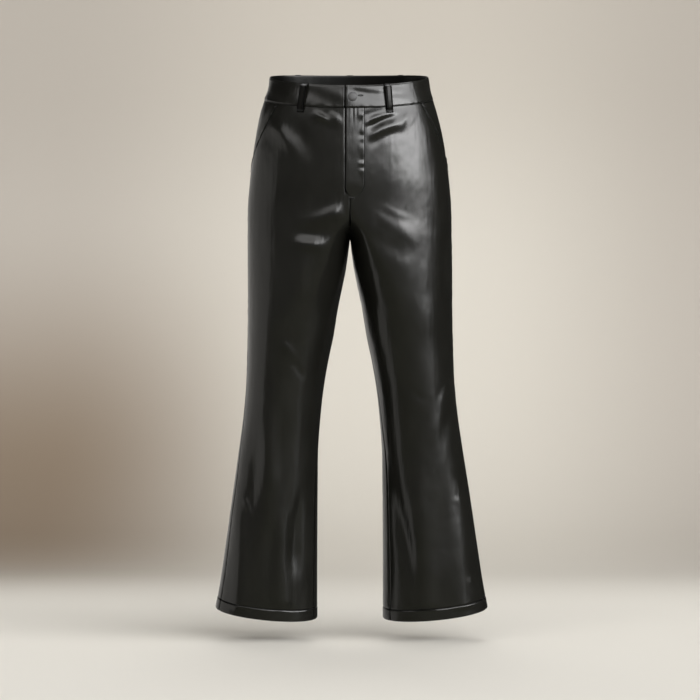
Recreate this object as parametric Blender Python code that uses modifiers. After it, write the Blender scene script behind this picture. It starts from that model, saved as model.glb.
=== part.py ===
"""Coated trousers with a waistband, slant pockets, a lapped fly and legs that flare from the knee.

They are filled out as when worn, with no wearer. Metres, +Z up, and the wearer faces -Y.
The origin is the middle of the waist, where the wearer holds them up.
Right and left are the wearer's own: right is at -X, left at +X.
"""

import math
from collections import namedtuple

import bmesh
import bpy
import numpy as np
from mathutils import Vector

# Driving sizes, in metres
CLOTH = 0.0014  # coated cloth of the legs
BAND_CLOTH = 0.0024  # waistband: two layers and a stiffener
POCKETING = 0.0010
HEM_CLOTH = 0.0026  # the hem is turned up inside
SEAM_GAP = 0.0003  # between two pieces that are sewn together
HALF_GAP = SEAM_GAP / 2
LAYER_GAP = 0.0003  # between a piece and what it lies on
FACET_SAG = 0.0004  # a flat facet of a wall lies this far inside its curve
BAND_HEIGHT = 0.0435
BAND_PROUD = 0.0008  # the waistband stands this far out from the legs
HEM_TURN = 0.021
HEM_HEIGHT = -0.995  # middle of the hem
CROTCH = -0.290  # lowest point of the crotch seam
HIP_LINE = -0.165  # above it the body is one oval, below it two legs grow out
LEG_SPREAD = 0.106  # how fast the legs part at the crotch
LEG_ROUND = -0.460  # from here down a leg is as full inward as outward
SIDE_TOP = 0.0209  # top edge of the waistband at the side
TOP_TILT = 0.0207  # the top edge falls to the front and climbs to the back by this
TOP_DIP = 0.0068
TILT_FADE = 0.150  # below the waist seam
HEM_TILT = 0.010  # the outer corner of a hem is higher than the inner one
HEM_DIP = 0.009  # the front and back of a hem hang lower than its corners
HEM_FADE = 0.250
FACE_FADE = 0.30  # sine of the angle from the side within which the folds fade
MIDDLE_FADE = 0.016
WAIST_FADE = 0.020

LAP_EDGE = -0.0078  # the left side laps over the right one, up to this x
UNDERLAP_END = 0.030
FLY_WIDE = 0.0285  # outer edge of the fly flap
FLY_STRAIGHT = -0.188  # where its edge begins to curve
FLY_END = -0.2175
FLY_TOP = -0.0514  # about the height of the waist seam there
FLY_TIP = 0.0010  # the x of its lowest point
FLY_CURVE = 0.018  # height over which the free edge runs in to that point
FLY_SLOT = (-0.0022, 0.0140)  # the two fronts stop here, behind the flap
FLY_SLOT_END = -0.196
FLAP_CLOTH = 0.0012

POCKET_TOP_X = 0.1355  # front end of the slant, at the waist seam
POCKET_TOP_DROP = 0.010  # the waist seam lies this far below its height at the side
POCKET_END = -0.165  # the slant runs into the side seam
POCKET_BEND = 1.15  # over 1, the slant bows out
POCKET_LAP = 0.014  # the facing goes on behind the front this far
POCKET_LOW = -0.255  # bottom of the bag

ZIP_MIDDLE = 0.0060
CHAIN_HALF = 0.0030
CHAIN_DEEP = 0.0009
TAPE = (-0.0105, 0.0235)  # the x of its two sides
ZIP_TOP = -0.0580
ZIP_END = -0.1995
SLIDER_Z = -0.0700
SLIDER_BELOW = 0.0045  # from the middle of the slider to its lower end, where the chain begins

LOOP_WIDE = 0.0120
LOOP_CLOTH = 0.0022
LOOP_ROOM = 0.0042  # free depth for a belt
LOOP_BELOW = 0.0105  # its lower end is sewn on below the waist seam

BUTTON_X = 0.0046
BUTTON_RADIUS = 0.0086
BUTTON_STAND = 0.0010  # height of its neck
BUTTON_RIM = 0.0019
BUTTON_DOME = 0.0027

# Rows and columns of points of the walls
UPRIGHT, STEEPEST = 0.8, 6.0  # how fast the columns straighten up beside the inseam
LEG_COLUMNS = 15
SEAM_STEP = 0.0005
HEM_STEP = 0.0020  # height over which the wall thins at the top of the hem
CALF_STEP, CALF_ROWS = 0.024, 21
THIGH_STEP, THIGH_ROWS = 0.012, 8
THIGH_ROOM = 0.086  # the thigh's rows begin this far below the crotch
CROTCH_ROOM = 0.075
CROTCH_SHARES = (0.015, 0.07, 0.18, 0.34, 0.54, 0.77)
SLOT_COLUMNS = 3  # columns that make way for the zip
SLOT_STEP = 0.019
HIP_STEP, HIP_ROWS = 0.016, 11
BAND_ROWS = (0.0, 0.06, 0.5, 0.94, 1.0)
BAND_ROUNDING = (0.0005, 0.0, 0.0, 0.0, 0.0005)
BAND_COLUMNS = 27
LOOP_ROWS = (-0.20, -0.13, -0.06, 0.02, 0.10, 0.20, 0.50, 0.74, 0.84, 0.91, 0.96, 1.02)
FLY_TURNS = (78.0, 62.0, 46.0, 30.0, 15.0, 0.0)  # degrees round its lower end
FLY_STEP, FLY_ROWS, FLY_COLUMNS = 0.014, 9, 7

Section = namedtuple("Section", "height right left front back")
# Half widths to the wearer's right and left, and depths to the front and the back
SECTIONS = (
    Section(-1.020, 0.2618, 0.2680, 0.067, 0.076),
    Section(-0.940, 0.2470, 0.2527, 0.070, 0.078),
    Section(-0.860, 0.2352, 0.2405, 0.073, 0.080),
    Section(-0.760, 0.2212, 0.2257, 0.076, 0.081),
    Section(-0.680, 0.2101, 0.2130, 0.079, 0.082),
    Section(-0.620, 0.2022, 0.2044, 0.082, 0.084),
    Section(-0.560, 0.1972, 0.1984, 0.086, 0.088),
    Section(-0.500, 0.1953, 0.1961, 0.091, 0.094),
    Section(-0.420, 0.1942, 0.1944, 0.099, 0.103),
    Section(-0.340, 0.1944, 0.1942, 0.106, 0.113),
    Section(-0.280, 0.1946, 0.1932, 0.111, 0.122),
    Section(-0.220, 0.1938, 0.1919, 0.115, 0.130),
    Section(-0.180, 0.1904, 0.1885, 0.117, 0.135),
    Section(-0.140, 0.1862, 0.1839, 0.117, 0.134),
    Section(-0.100, 0.1801, 0.1773, 0.116, 0.127),
    Section(-0.075, 0.1759, 0.1721, 0.115, 0.120),
    Section(-0.046, 0.1697, 0.1645, 0.113, 0.111),
    Section(-0.022, 0.1621, 0.1573, 0.111, 0.105),
    Section(0.000, 0.1550, 0.1514, 0.109, 0.101),
    Section(0.021, 0.1522, 0.1484, 0.107, 0.099),
    Section(0.036, 0.1512, 0.1474, 0.106, 0.098),
)

Gap = namedtuple("Gap", "height inner")
# Distance of each leg's inner side from the middle
GAPS = (
    Gap(-1.020, 0.0624),
    Gap(-0.860, 0.0620),
    Gap(-0.740, 0.0612),
    Gap(-0.684, 0.0604),
    Gap(-0.631, 0.0565),
    Gap(-0.578, 0.0510),
    Gap(-0.524, 0.0422),
    Gap(-0.471, 0.0312),
    Gap(-0.418, 0.0226),
    Gap(-0.365, 0.0116),
    Gap(-0.338, 0.0065),
    Gap(-0.312, 0.0031),
    Gap(-0.290, 0.0004),
)

Seam = namedtuple("Seam", "height in_right in_left out_right out_left")
# Where the inseam and the side seam run, in degrees round the leg from its inner side to its outer side
SEAMS = (
    Seam(-1.020, 20.0, 30.0, 156.0, 163.0),
    Seam(-0.800, 19.0, 27.0, 157.0, 165.0),
    Seam(-0.650, 13.0, 18.0, 164.0, 170.0),
    Seam(-0.480, 5.0, 6.0, 172.0, 175.0),
    Seam(-0.290, 0.0, 0.0, 180.0, 180.0),
    Seam(-0.170, 0.0, 0.0, 184.0, 184.0),
    Seam(0.040, 0.0, 0.0, 183.0, 183.0),
)

RIGHT, LEFT = -1, 1
FRONT, BACK = 1, -1

Fold = namedtuple("Fold", "side face x0 z0 x1 z1 bow wide deep fade_in fade_out")
# A soft ridge (deep > 0) or trough (deep < 0) from one place to another, as seen from the front or the back
FOLDS = (
    # hip and fly, front
    Fold(RIGHT, FRONT, 0.128, -0.052, 0.070, -0.150, 0.008, 0.011, 0.0026, 0.30, 0.60),
    Fold(RIGHT, FRONT, 0.104, -0.060, 0.052, -0.160, 0.006, 0.014, -0.0022, 0.40, 0.50),
    Fold(RIGHT, FRONT, 0.078, -0.060, 0.010, -0.082, 0.003, 0.008, 0.0022, 0.35, 0.35),
    Fold(LEFT, FRONT, 0.034, -0.078, 0.108, -0.050, -0.007, 0.006, 0.0028, 0.20, 0.40),
    Fold(LEFT, FRONT, 0.032, -0.092, 0.120, -0.056, -0.012, 0.009, -0.0034, 0.25, 0.40),
    Fold(LEFT, FRONT, 0.036, -0.118, 0.132, -0.056, -0.016, 0.016, 0.0024, 0.35, 0.40),
    # crotch and thigh, front
    Fold(RIGHT, FRONT, 0.008, -0.243, 0.120, -0.243, 0.010, 0.016, 0.0040, 0.25, 0.50),
    Fold(RIGHT, FRONT, 0.012, -0.277, 0.120, -0.275, 0.004, 0.016, -0.0030, 0.30, 0.50),
    Fold(RIGHT, FRONT, 0.036, -0.306, 0.112, -0.302, 0.006, 0.016, 0.0038, 0.35, 0.45),
    Fold(LEFT, FRONT, 0.030, -0.244, 0.148, -0.284, 0.004, 0.017, 0.0020, 0.30, 0.45),
    Fold(LEFT, FRONT, 0.022, -0.276, 0.138, -0.330, 0.004, 0.017, -0.0016, 0.30, 0.45),
    Fold(LEFT, FRONT, 0.034, -0.300, 0.136, -0.356, 0.004, 0.018, 0.0010, 0.35, 0.50),
    # knee and flare, front
    Fold(RIGHT, FRONT, 0.160, -0.540, 0.126, -0.990, 0.004, 0.017, 0.0060, 0.50, 0.05),
    Fold(RIGHT, FRONT, 0.128, -0.560, 0.152, -0.960, 0.004, 0.014, -0.0050, 0.50, 0.30),
    Fold(RIGHT, FRONT, 0.094, -0.760, 0.104, -0.940, -0.004, 0.014, -0.0050, 0.45, 0.35),
    Fold(RIGHT, FRONT, 0.176, -0.620, 0.198, -0.860, 0.004, 0.016, -0.0050, 0.40, 0.40),
    Fold(RIGHT, FRONT, 0.206, -0.740, 0.206, -0.990, 0.000, 0.018, 0.0045, 0.40, 0.05),
    Fold(LEFT, FRONT, 0.064, -0.640, 0.128, -0.955, 0.006, 0.014, -0.0056, 0.40, 0.30),
    Fold(LEFT, FRONT, 0.132, -0.660, 0.142, -0.990, 0.004, 0.020, 0.0065, 0.50, 0.05),
    Fold(LEFT, FRONT, 0.176, -0.660, 0.166, -0.930, -0.004, 0.016, -0.0050, 0.45, 0.30),
    Fold(LEFT, FRONT, 0.196, -0.560, 0.150, -0.690, 0.004, 0.010, 0.0024, 0.30, 0.45),
    Fold(LEFT, FRONT, 0.186, -0.590, 0.160, -0.720, 0.000, 0.012, -0.0026, 0.35, 0.45),
    Fold(LEFT, FRONT, 0.208, -0.720, 0.214, -0.990, 0.000, 0.018, 0.0050, 0.40, 0.05),
    # back: under the seat, behind the knee and in the flare
    Fold(RIGHT, BACK, 0.020, -0.300, 0.150, -0.258, -0.008, 0.019, 0.0036, 0.40, 0.45),
    Fold(RIGHT, BACK, 0.022, -0.338, 0.158, -0.302, -0.006, 0.018, -0.0038, 0.35, 0.45),
    Fold(RIGHT, BACK, 0.034, -0.380, 0.140, -0.358, 0.000, 0.018, 0.0028, 0.35, 0.45),
    Fold(LEFT, BACK, 0.016, -0.292, 0.142, -0.246, -0.007, 0.019, 0.0038, 0.40, 0.50),
    Fold(LEFT, BACK, 0.020, -0.330, 0.152, -0.288, -0.006, 0.018, -0.0038, 0.35, 0.45),
    Fold(LEFT, BACK, 0.040, -0.374, 0.150, -0.344, 0.004, 0.018, 0.0026, 0.35, 0.45),
    Fold(RIGHT, BACK, 0.070, -0.560, 0.176, -0.596, 0.004, 0.014, 0.0040, 0.35, 0.40),
    Fold(RIGHT, BACK, 0.068, -0.590, 0.176, -0.628, 0.004, 0.013, -0.0042, 0.35, 0.40),
    Fold(LEFT, BACK, 0.062, -0.586, 0.172, -0.556, 0.000, 0.014, 0.0042, 0.35, 0.40),
    Fold(LEFT, BACK, 0.066, -0.616, 0.178, -0.590, 0.000, 0.013, -0.0040, 0.35, 0.40),
    Fold(RIGHT, BACK, 0.118, -0.660, 0.134, -0.990, 0.000, 0.018, 0.0060, 0.50, 0.05),
    Fold(RIGHT, BACK, 0.160, -0.640, 0.186, -0.950, 0.004, 0.015, -0.0055, 0.45, 0.30),
    Fold(RIGHT, BACK, 0.092, -0.740, 0.094, -0.960, 0.000, 0.014, -0.0045, 0.45, 0.30),
    Fold(LEFT, BACK, 0.126, -0.650, 0.150, -0.990, 0.000, 0.020, 0.0065, 0.50, 0.05),
    Fold(LEFT, BACK, 0.096, -0.660, 0.110, -0.960, 0.004, 0.015, -0.0055, 0.45, 0.30),
    Fold(LEFT, BACK, 0.176, -0.680, 0.198, -0.940, 0.000, 0.015, -0.0050, 0.45, 0.30),
    # seat, from the waistband down
    Fold(RIGHT, BACK, 0.030, -0.030, 0.090, -0.120, 0.000, 0.012, 0.0020, 0.30, 0.60),
    Fold(LEFT, BACK, 0.026, -0.030, 0.096, -0.116, 0.000, 0.012, 0.0022, 0.30, 0.60),
)

# Colours
COATED_BLACK = (0.010, 0.010, 0.009, 1.0)
COTTON_BLACK = (0.016, 0.016, 0.017, 1.0)
BUTTON_GREY = (0.050, 0.050, 0.052, 1.0)
ZIP_BLACK = (0.012, 0.012, 0.013, 1.0)


# ---------------------------------------------------------------- curves


def ease(t):
    """0 below 0, 1 above 1, and smooth between."""
    t = np.clip(t, 0.0, 1.0)
    return t * t * (3.0 - 2.0 * t)


def smooth_curve(heights, values):
    """A function of height through the given places, with no jump in its slope."""
    heights, values = np.array(heights), np.array(values)
    slopes = np.gradient(values, heights)

    def at(height):
        height = np.clip(height, heights[0], heights[-1])
        i = np.clip(np.searchsorted(heights, height) - 1, 0, len(heights) - 2)
        step = heights[i + 1] - heights[i]
        t = (height - heights[i]) / step
        flat = (1 - ease(t)) * values[i] + ease(t) * values[i + 1]
        lean = slopes[i] * t * (1 - t) ** 2 - slopes[i + 1] * t * t * (1 - t)
        return flat + step * lean

    return at


def columns_of(table):
    """One smooth function of height for each column of a table."""
    heights = [row.height for row in table]
    return {
        name: smooth_curve(heights, [getattr(row, name) for row in table])
        for name in table[0]._fields[1:]
    }


BODY = columns_of(SECTIONS)
LEG = columns_of(GAPS)
SEAM = columns_of(SEAMS)


# ---------------------------------------------------------------- the shape of the cloth


def oval(side, z):
    """Middle of the oval that the cloth follows at a height, and its half widths inward and outward.

    Below the crotch it goes round one leg. Above it, it grows past the middle of the body, which cuts
    it, until both sides share one oval at the hip line.
    """
    outer = BODY["left" if side == LEFT else "right"](z)
    rise = np.clip((z - CROTCH) / (HIP_LINE - CROTCH), 0.0, 1.0)
    past = LEG_SPREAD * rise * (1 - rise) ** 2 + ease(rise)
    inner = np.where(z < CROTCH, LEG["inner"](z), -outer * past)
    middle = (outer + inner) / 2 * ease((HIP_LINE - z) / (HIP_LINE - LEG_ROUND))
    return middle, middle - inner, outer - middle


def across(side, angle, z):
    """Distance from the middle of the body at an angle round the oval."""
    middle, inward, outward = oval(side, z)
    return middle - np.cos(angle) * np.where(np.cos(angle) > 0, inward, outward)


def angle_at(side, x, z):
    """Angle round the oval, 0 at its inner side and pi at its outer one, of a distance x."""
    middle, inward, outward = oval(side, z)
    return np.arccos(np.clip((middle - x) / np.where(x < middle, inward, outward), -1.0, 1.0))


def depth_at(angle, z):
    return np.where(np.sin(angle) > 0, BODY["front"](z), BODY["back"](z))


def reach(side, angle, z):
    """Length of the oval for one radian of angle."""
    middle, inward, outward = oval(side, z)
    half = np.where(np.cos(angle) > 0, inward, outward)
    return np.hypot(half * np.sin(angle), depth_at(angle, z) * np.cos(angle))


def fold_depth(side, angle, z):
    """How far the folds move the cloth out. They fade before the side, the middle seam and the waist."""
    x = across(side, angle, z)
    total = np.zeros(x.shape)
    for fold in FOLDS:
        if fold.side != side:
            continue
        run_x, run_z = fold.x1 - fold.x0, fold.z1 - fold.z0
        length = math.hypot(run_x, run_z)
        along = ((x - fold.x0) * run_x + (z - fold.z0) * run_z) / length**2
        off = ((x - fold.x0) * run_z - (z - fold.z0) * run_x) / length
        inside = np.clip(along, 0.0, 1.0)
        off = off - fold.bow * 4 * inside * (1 - inside)
        fade = ease(along / fold.fade_in) * ease((1 - along) / fold.fade_out)
        fade = fade * ease(fold.face * np.sin(angle) / FACE_FADE)
        total = total + fold.deep * fade * np.exp(-((off / fold.wide) ** 2))
    from_middle = np.where(z > CROTCH, x, MIDDLE_FADE)
    return total * ease(from_middle / MIDDLE_FADE) * ease((waist_seam(angle) - z) / WAIST_FADE)


def waist_seam(angle):
    """Height of the seam between the waistband and the legs."""
    front = np.sin(angle)
    return SIDE_TOP - BAND_HEIGHT - TOP_TILT * front - TOP_DIP * front**2


def skin(side, angle, z):
    """A point of the outer side of the cloth."""
    middle, inward, outward = oval(side, z)
    half = np.where(np.cos(angle) > 0, inward, outward)
    depth = depth_at(angle, z)
    out = np.stack([-np.cos(angle) * depth, -np.sin(angle) * half])
    out = out / np.hypot(out[0], out[1]) * fold_depth(side, angle, z)
    x = side * (middle - half * np.cos(angle) + out[0])
    y = -depth * np.sin(angle) + out[1]
    return np.stack([x, y, np.broadcast_to(z, np.shape(x))], axis=-1)


def cloth(side, angle, z, lift):
    """A point lifted off the outer side of the cloth along its normal. A negative lift goes inside."""
    step = 2e-4
    here = skin(side, angle, z)
    round_it = skin(side, angle + step / 0.1, z) - skin(side, angle - step / 0.1, z)
    up_it = skin(side, angle, z + step) - skin(side, angle, z - step)
    normal = side * np.cross(round_it, up_it)
    normal /= np.linalg.norm(normal, axis=-1, keepdims=True)
    return here + normal * np.asarray(lift)[..., None]


def front_cloth(x, z, lift):
    """A point at a signed x, lifted straight forward off the front of the cloth."""
    side = np.where(x < 0, RIGHT, LEFT)
    found = np.empty(np.shape(x) + (3,))
    for one in (RIGHT, LEFT):
        here = side == one
        found[here] = skin(one, angle_at(one, np.abs(x[here]), z[here]), z[here])
    found[..., 0] = x
    found[..., 1] -= lift
    return found


# ---------------------------------------------------------------- meshes


def material(name, colour, roughness, metallic=0.0):
    made = bpy.data.materials.new(name)
    made.use_nodes = True
    shader = made.node_tree.nodes["Principled BSDF"]
    shader.inputs["Base Color"].default_value = colour
    shader.inputs["Roughness"].default_value = roughness
    shader.inputs["Metallic"].default_value = metallic
    made.diffuse_color = colour
    return made


def add_object(name, mesh, finish):
    made = bpy.data.objects.new(name, mesh)
    made.data.materials.append(finish)
    made.data.shade_smooth()
    made.data.set_sharp_from_angle(angle=math.radians(40))
    bpy.data.collections["coated_trousers"].objects.link(made)
    return made


def wall(name, outer, inner, finish):
    """A closed wall lofted from two grids of points, rows by columns, its outer and its inner side."""
    rows, columns = outer.shape[:2]
    shell = bmesh.new()
    grids = [
        [[shell.verts.new(point) for point in row] for row in grid] for grid in (outer, inner)
    ]
    for i in range(rows - 1):
        for j in range(columns - 1):
            a, b, c, d = outer[i, j], outer[i, j + 1], outer[i + 1, j + 1], outer[i + 1, j]
            straight = np.linalg.norm(a - c) <= np.linalg.norm(b - d)  # split along the shorter diagonal
            for grid in grids:
                corners = [grid[i][j], grid[i][j + 1], grid[i + 1][j + 1], grid[i + 1][j]]
                for three in ((0, 1, 2), (0, 2, 3)) if straight else ((0, 1, 3), (1, 2, 3)):
                    shell.faces.new([corners[k] for k in three])
    edge = [(0, j) for j in range(columns)] + [(i, columns - 1) for i in range(1, rows)]
    edge += [(rows - 1, j) for j in range(columns - 2, -1, -1)]
    edge += [(i, 0) for i in range(rows - 2, 0, -1)]
    for (i, j), (k, m) in zip(edge, edge[1:] + edge[:1]):
        shell.faces.new((grids[0][i][j], grids[0][k][m], grids[1][k][m], grids[1][i][j]))
    bmesh.ops.recalc_face_normals(shell, faces=shell.faces)
    mesh = bpy.data.meshes.new(name)
    shell.to_mesh(mesh)
    shell.free()
    return add_object(name, mesh, finish)


# ---------------------------------------------------------------- legs


def panel_heights(face):
    """Heights of a leg panel's rows: closer together at the hem, on the thigh and above the crotch."""
    hem = [HEM_HEIGHT, HEM_HEIGHT + HEM_TURN - HEM_STEP, HEM_HEIGHT + HEM_TURN]
    calf = np.linspace(hem[-1] + CALF_STEP, CROTCH - THIGH_ROOM - THIGH_STEP, CALF_ROWS)
    thigh = np.linspace(CROTCH - THIGH_ROOM, CROTCH - SEAM_STEP, THIGH_ROWS)
    rounding = CROTCH + CROTCH_ROOM * np.array(CROTCH_SHARES)
    slot = [FLY_SLOT_END - SLOT_STEP, FLY_SLOT_END - 2 * SEAM_STEP]
    if face == FRONT:
        slot.append(FLY_SLOT_END)
    hips = np.linspace(FLY_SLOT_END + HIP_STEP, SIDE_TOP - BAND_HEIGHT, HIP_ROWS)
    return np.concatenate([hem, calf, thigh, rounding, slot, hips])


def settled(height, angle):
    """The height of a point of a row: the lowest rows follow the hem, the highest ones the waist seam."""
    front = np.sin(angle)
    hem = -HEM_TILT * np.cos(angle) - HEM_DIP * np.abs(front)
    top = waist_seam(angle) - HALF_GAP - (SIDE_TOP - BAND_HEIGHT)
    near_hem = 1 - ease((height - HEM_HEIGHT) / HEM_FADE)
    near_top = 1 - ease((SIDE_TOP - BAND_HEIGHT - height) / TILT_FADE)
    return height + hem * near_hem + top * near_top


def side_angle(side, z):
    return np.radians(SEAM["out_left" if side == LEFT else "out_right"](z))


def inner_angle(side, face, z):
    """The inner edge of a panel: the inseam on the leg, and above it the middle seam."""
    inseam = np.radians(SEAM["in_left" if side == LEFT else "in_right"](z))
    inseam = inseam + face * HALF_GAP / reach(side, inseam, z)
    return np.where(z < CROTCH, inseam, face * angle_at(side, HALF_GAP, z))


def spread(inner, outer, share):
    """Angles from a panel's inner edge to its outer one. Columns away from the inner edge stay upright."""
    power = np.clip(UPRIGHT * np.abs(outer) / np.maximum(np.abs(inner), 0.01) - 1.0, 1.0, STEEPEST)
    return outer * share + inner * (1 - share) ** power


def slot_shift(side, z, share):
    """Angle by which the front's first columns move from the middle, to make room for the zip."""
    wanted = FLY_SLOT[1] if side == LEFT else -FLY_SLOT[0]
    shift = angle_at(side, wanted, z) - angle_at(side, HALF_GAP, z)
    columns = np.clip(1 - share * (LEG_COLUMNS - 1) / SLOT_COLUMNS, 0.0, 1.0)
    return np.where(z > FLY_SLOT_END - SEAM_STEP, shift, 0.0) * columns


def slant_angle(side, z):
    """The edge of the front where the pocket opens, from the waist seam down to the side seam."""
    top = SIDE_TOP - BAND_HEIGHT - POCKET_TOP_DROP
    down = np.clip((top - z) / (top - POCKET_END), 0.0, 1.0)
    start = angle_at(side, POCKET_TOP_X, np.asarray(top))
    return start + (side_angle(side, z) - start) * down**POCKET_BEND


def leg_panel(name, side, face, finish):
    """A front or a back, from the hem to the waist seam."""
    heights = panel_heights(face)
    share = np.linspace(0.0, 1.0, LEG_COLUMNS)
    height = np.repeat(heights[:, None], LEG_COLUMNS, axis=1)
    z = height
    for _ in range(4):  # the edges depend on the height and the height on the angle
        if face == FRONT:
            outer = np.where(z > POCKET_END, slant_angle(side, z), side_angle(side, z))
            outer = outer - HALF_GAP / reach(side, outer, z)
        else:
            outer = side_angle(side, z) - 2 * math.pi
            outer = outer + HALF_GAP / reach(side, outer, z)
        angle = spread(inner_angle(side, face, z), outer, share)
        if face == FRONT:
            angle = angle + slot_shift(side, z, share)
        z = settled(height, angle)
    thick = np.where(height < HEM_HEIGHT + HEM_TURN - HEM_STEP / 2, HEM_CLOTH, CLOTH)
    return wall(
        name, cloth(side, angle, z, np.zeros(z.shape)), cloth(side, angle, z, -thick), finish
    )


# ---------------------------------------------------------------- waistband


def band(turn, share, lift):
    """A point of the waistband, at a signed angle from the middle front and a share of its height."""
    angle = math.pi / 2 + np.abs(turn)
    angle = np.where(angle > math.pi, angle - 2 * math.pi, angle)
    z = waist_seam(angle) + HALF_GAP + share * (BAND_HEIGHT - HALF_GAP)
    lift = np.broadcast_to(lift, z.shape)
    point = np.empty(z.shape + (3,))
    for side in (RIGHT, LEFT):
        here = (turn < 0) == (side == RIGHT)
        point[here] = cloth(side, angle[here], z[here], lift[here])
    return point


def turn_at(x):
    """The waistband's signed angle at a signed distance from the middle front."""
    wide = BODY["right" if x < 0 else "left"](-0.022)
    return math.asin(x / wide)


def waistband(name, turns, lifts, finish):
    rounded = np.array(BAND_ROUNDING)[:, None]  # at the upper and lower edges
    turn, share = np.meshgrid(turns, BAND_ROWS)
    outer = band(turn, share, lifts - rounded)
    inner = band(turn, share, lifts - BAND_CLOTH + rounded)
    return wall(name, outer, inner, finish)


def waistbands(finish):
    """The left half laps over the right one at the front, and they meet in a seam at the back."""
    back = math.pi - HALF_GAP / BODY["left"](0.0)
    turns = np.concatenate([[turn_at(LAP_EDGE)], np.linspace(0.0, back, BAND_COLUMNS)])
    waistband("waistband_left", turns, BAND_PROUD + 0 * turns, finish)
    step_down = LAP_EDGE - 0.0012  # from here on the right half lies behind the left one
    xs = np.array([UNDERLAP_END, 0.020, 0.010, 0.0, step_down, -0.0120, -0.0160])
    behind = (BAND_CLOTH + LAYER_GAP + 0.0002) * (1 - ease((step_down - xs) / 0.006))
    turns = np.concatenate([[turn_at(x) for x in xs], np.linspace(-0.18, -back, 25)])
    lifts = BAND_PROUD - np.concatenate([behind, np.zeros(25)])
    waistband("waistband_right", turns, lifts, finish)


# ---------------------------------------------------------------- belt loops


Loop = namedtuple("Loop", "name foot head")
# Signed angle from the middle front of each loop's lower and upper end, in degrees
LOOPS = (
    Loop("belt_loop_front_right", -32.4, -31.9),
    Loop("belt_loop_front_left", 26.2, 26.6),
    Loop("belt_loop_back_right", -140.0, -139.0),
    Loop("belt_loop_back_left", 140.0, 139.0),
    Loop("belt_loop_back_middle", 180.0, 180.0),
)


def belt_loop(loop, finish):
    """A strip that is sewn down below the waist seam and at the top edge, and free between."""
    low = -LOOP_BELOW / BAND_HEIGHT
    shares = np.array([low, *LOOP_ROWS])
    rest = LAYER_GAP + BAND_PROUD * ease((shares + 0.20) / 0.20)
    free = ease((shares + 0.16) / 0.34) * ease((0.97 - shares) / 0.26)
    middle = np.radians(loop.foot + (loop.head - loop.foot) * np.clip(shares, 0, 1))
    wide, deep = BODY["left"](0.0), BODY["front"](0.0)
    half_turn = LOOP_WIDE / 2 / np.hypot(wide * np.cos(middle), deep * np.sin(middle))
    turn = middle[:, None] + half_turn[:, None] * np.array([-1.0, 0.0, 1.0])
    turn = (turn + math.pi) % (2 * math.pi) - math.pi
    share = np.repeat(shares[:, None], 3, axis=1)
    lift = np.repeat((rest + free * LOOP_ROOM)[:, None], 3, axis=1)
    return wall(loop.name, band(turn, share, lift + LOOP_CLOTH), band(turn, share, lift), finish)


# ---------------------------------------------------------------- fly and zip


def fly_flap(finish):
    """The stitched flap that covers the zip: straight beside the middle, rounded at its lower end."""
    turn = np.radians(FLY_TURNS)
    curved = FLY_STRAIGHT - (FLY_STRAIGHT - FLY_END) * np.sin(turn)
    heights = np.concatenate([curved, np.linspace(FLY_STRAIGHT + FLY_STEP, FLY_TOP, FLY_ROWS)])
    share = np.linspace(0.0, 1.0, FLY_COLUMNS)
    outer_edge = np.full(heights.shape, FLY_WIDE)
    outer_edge[: len(turn)] = FLY_TIP + (FLY_WIDE - FLY_TIP) * np.cos(turn)
    inner_edge = LAP_EDGE * ease((heights - FLY_END) / FLY_CURVE) - 0.0002
    x = inner_edge[:, None] + (outer_edge - inner_edge)[:, None] * share[None, :]
    z = np.repeat(heights[:, None], len(share), axis=1)
    top = waist_seam(angle_at(LEFT, np.abs(x), z)) - HALF_GAP - 0.0003
    z = np.where(heights[:, None] == heights[-1], top, z)
    lift = np.full(z.shape, LAYER_GAP + 0.0002)
    return wall("fly_flap", front_cloth(x, z, lift + FLAP_CLOTH), front_cloth(x, z, lift), finish)


def zip_tape(finish):
    """The closed zip: two tapes sewn behind the fronts, and the chain in the slot between them."""
    chain_side = CHAIN_HALF + 0.0004
    xs = ZIP_MIDDLE + np.array([-chain_side, -CHAIN_HALF, 0.0, CHAIN_HALF, chain_side])
    xs = np.concatenate([[TAPE[0], 0.0], xs, [TAPE[1]]])
    raised = np.array([0, 0, 0, 1, 1, 1, 0, 0])
    chain_top = SLIDER_Z - SLIDER_BELOW
    heights = [ZIP_END, FLY_SLOT_END, FLY_SLOT_END + 0.0005]
    heights += list(np.linspace(FLY_SLOT_END + 0.016, chain_top - 0.001, 7))
    heights += [chain_top - 0.0005, ZIP_TOP]
    x, z = np.meshgrid(xs, heights)
    in_slot = (z > FLY_SLOT_END + 0.0001) & (z < chain_top - 0.0007)
    behind = -(CLOTH + LAYER_GAP + FACET_SAG)
    outer = behind + CHAIN_DEEP * raised[None, :] * in_slot
    inner = np.full(z.shape, behind - POCKETING)
    return wall("zip_tape", front_cloth(x, z, outer), front_cloth(x, z, inner), finish)


def box_at(name, low, high, place, turn, bevel, finish):
    """A box with rounded edges, given by two corners about its own origin."""
    shape = bmesh.new()
    bmesh.ops.create_cube(shape, size=1.0)
    size = Vector(high) - Vector(low)
    middle = (Vector(high) + Vector(low)) / 2
    bmesh.ops.scale(shape, vec=size, verts=shape.verts)
    bmesh.ops.translate(shape, vec=middle, verts=shape.verts)
    mesh = bpy.data.meshes.new(name)
    shape.to_mesh(mesh)
    shape.free()
    made = add_object(name, mesh, finish)
    made.location = place
    made.rotation_euler = turn
    rounding = made.modifiers.new("rounding", "BEVEL")
    rounding.width = bevel
    rounding.segments = 2
    return made


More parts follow.
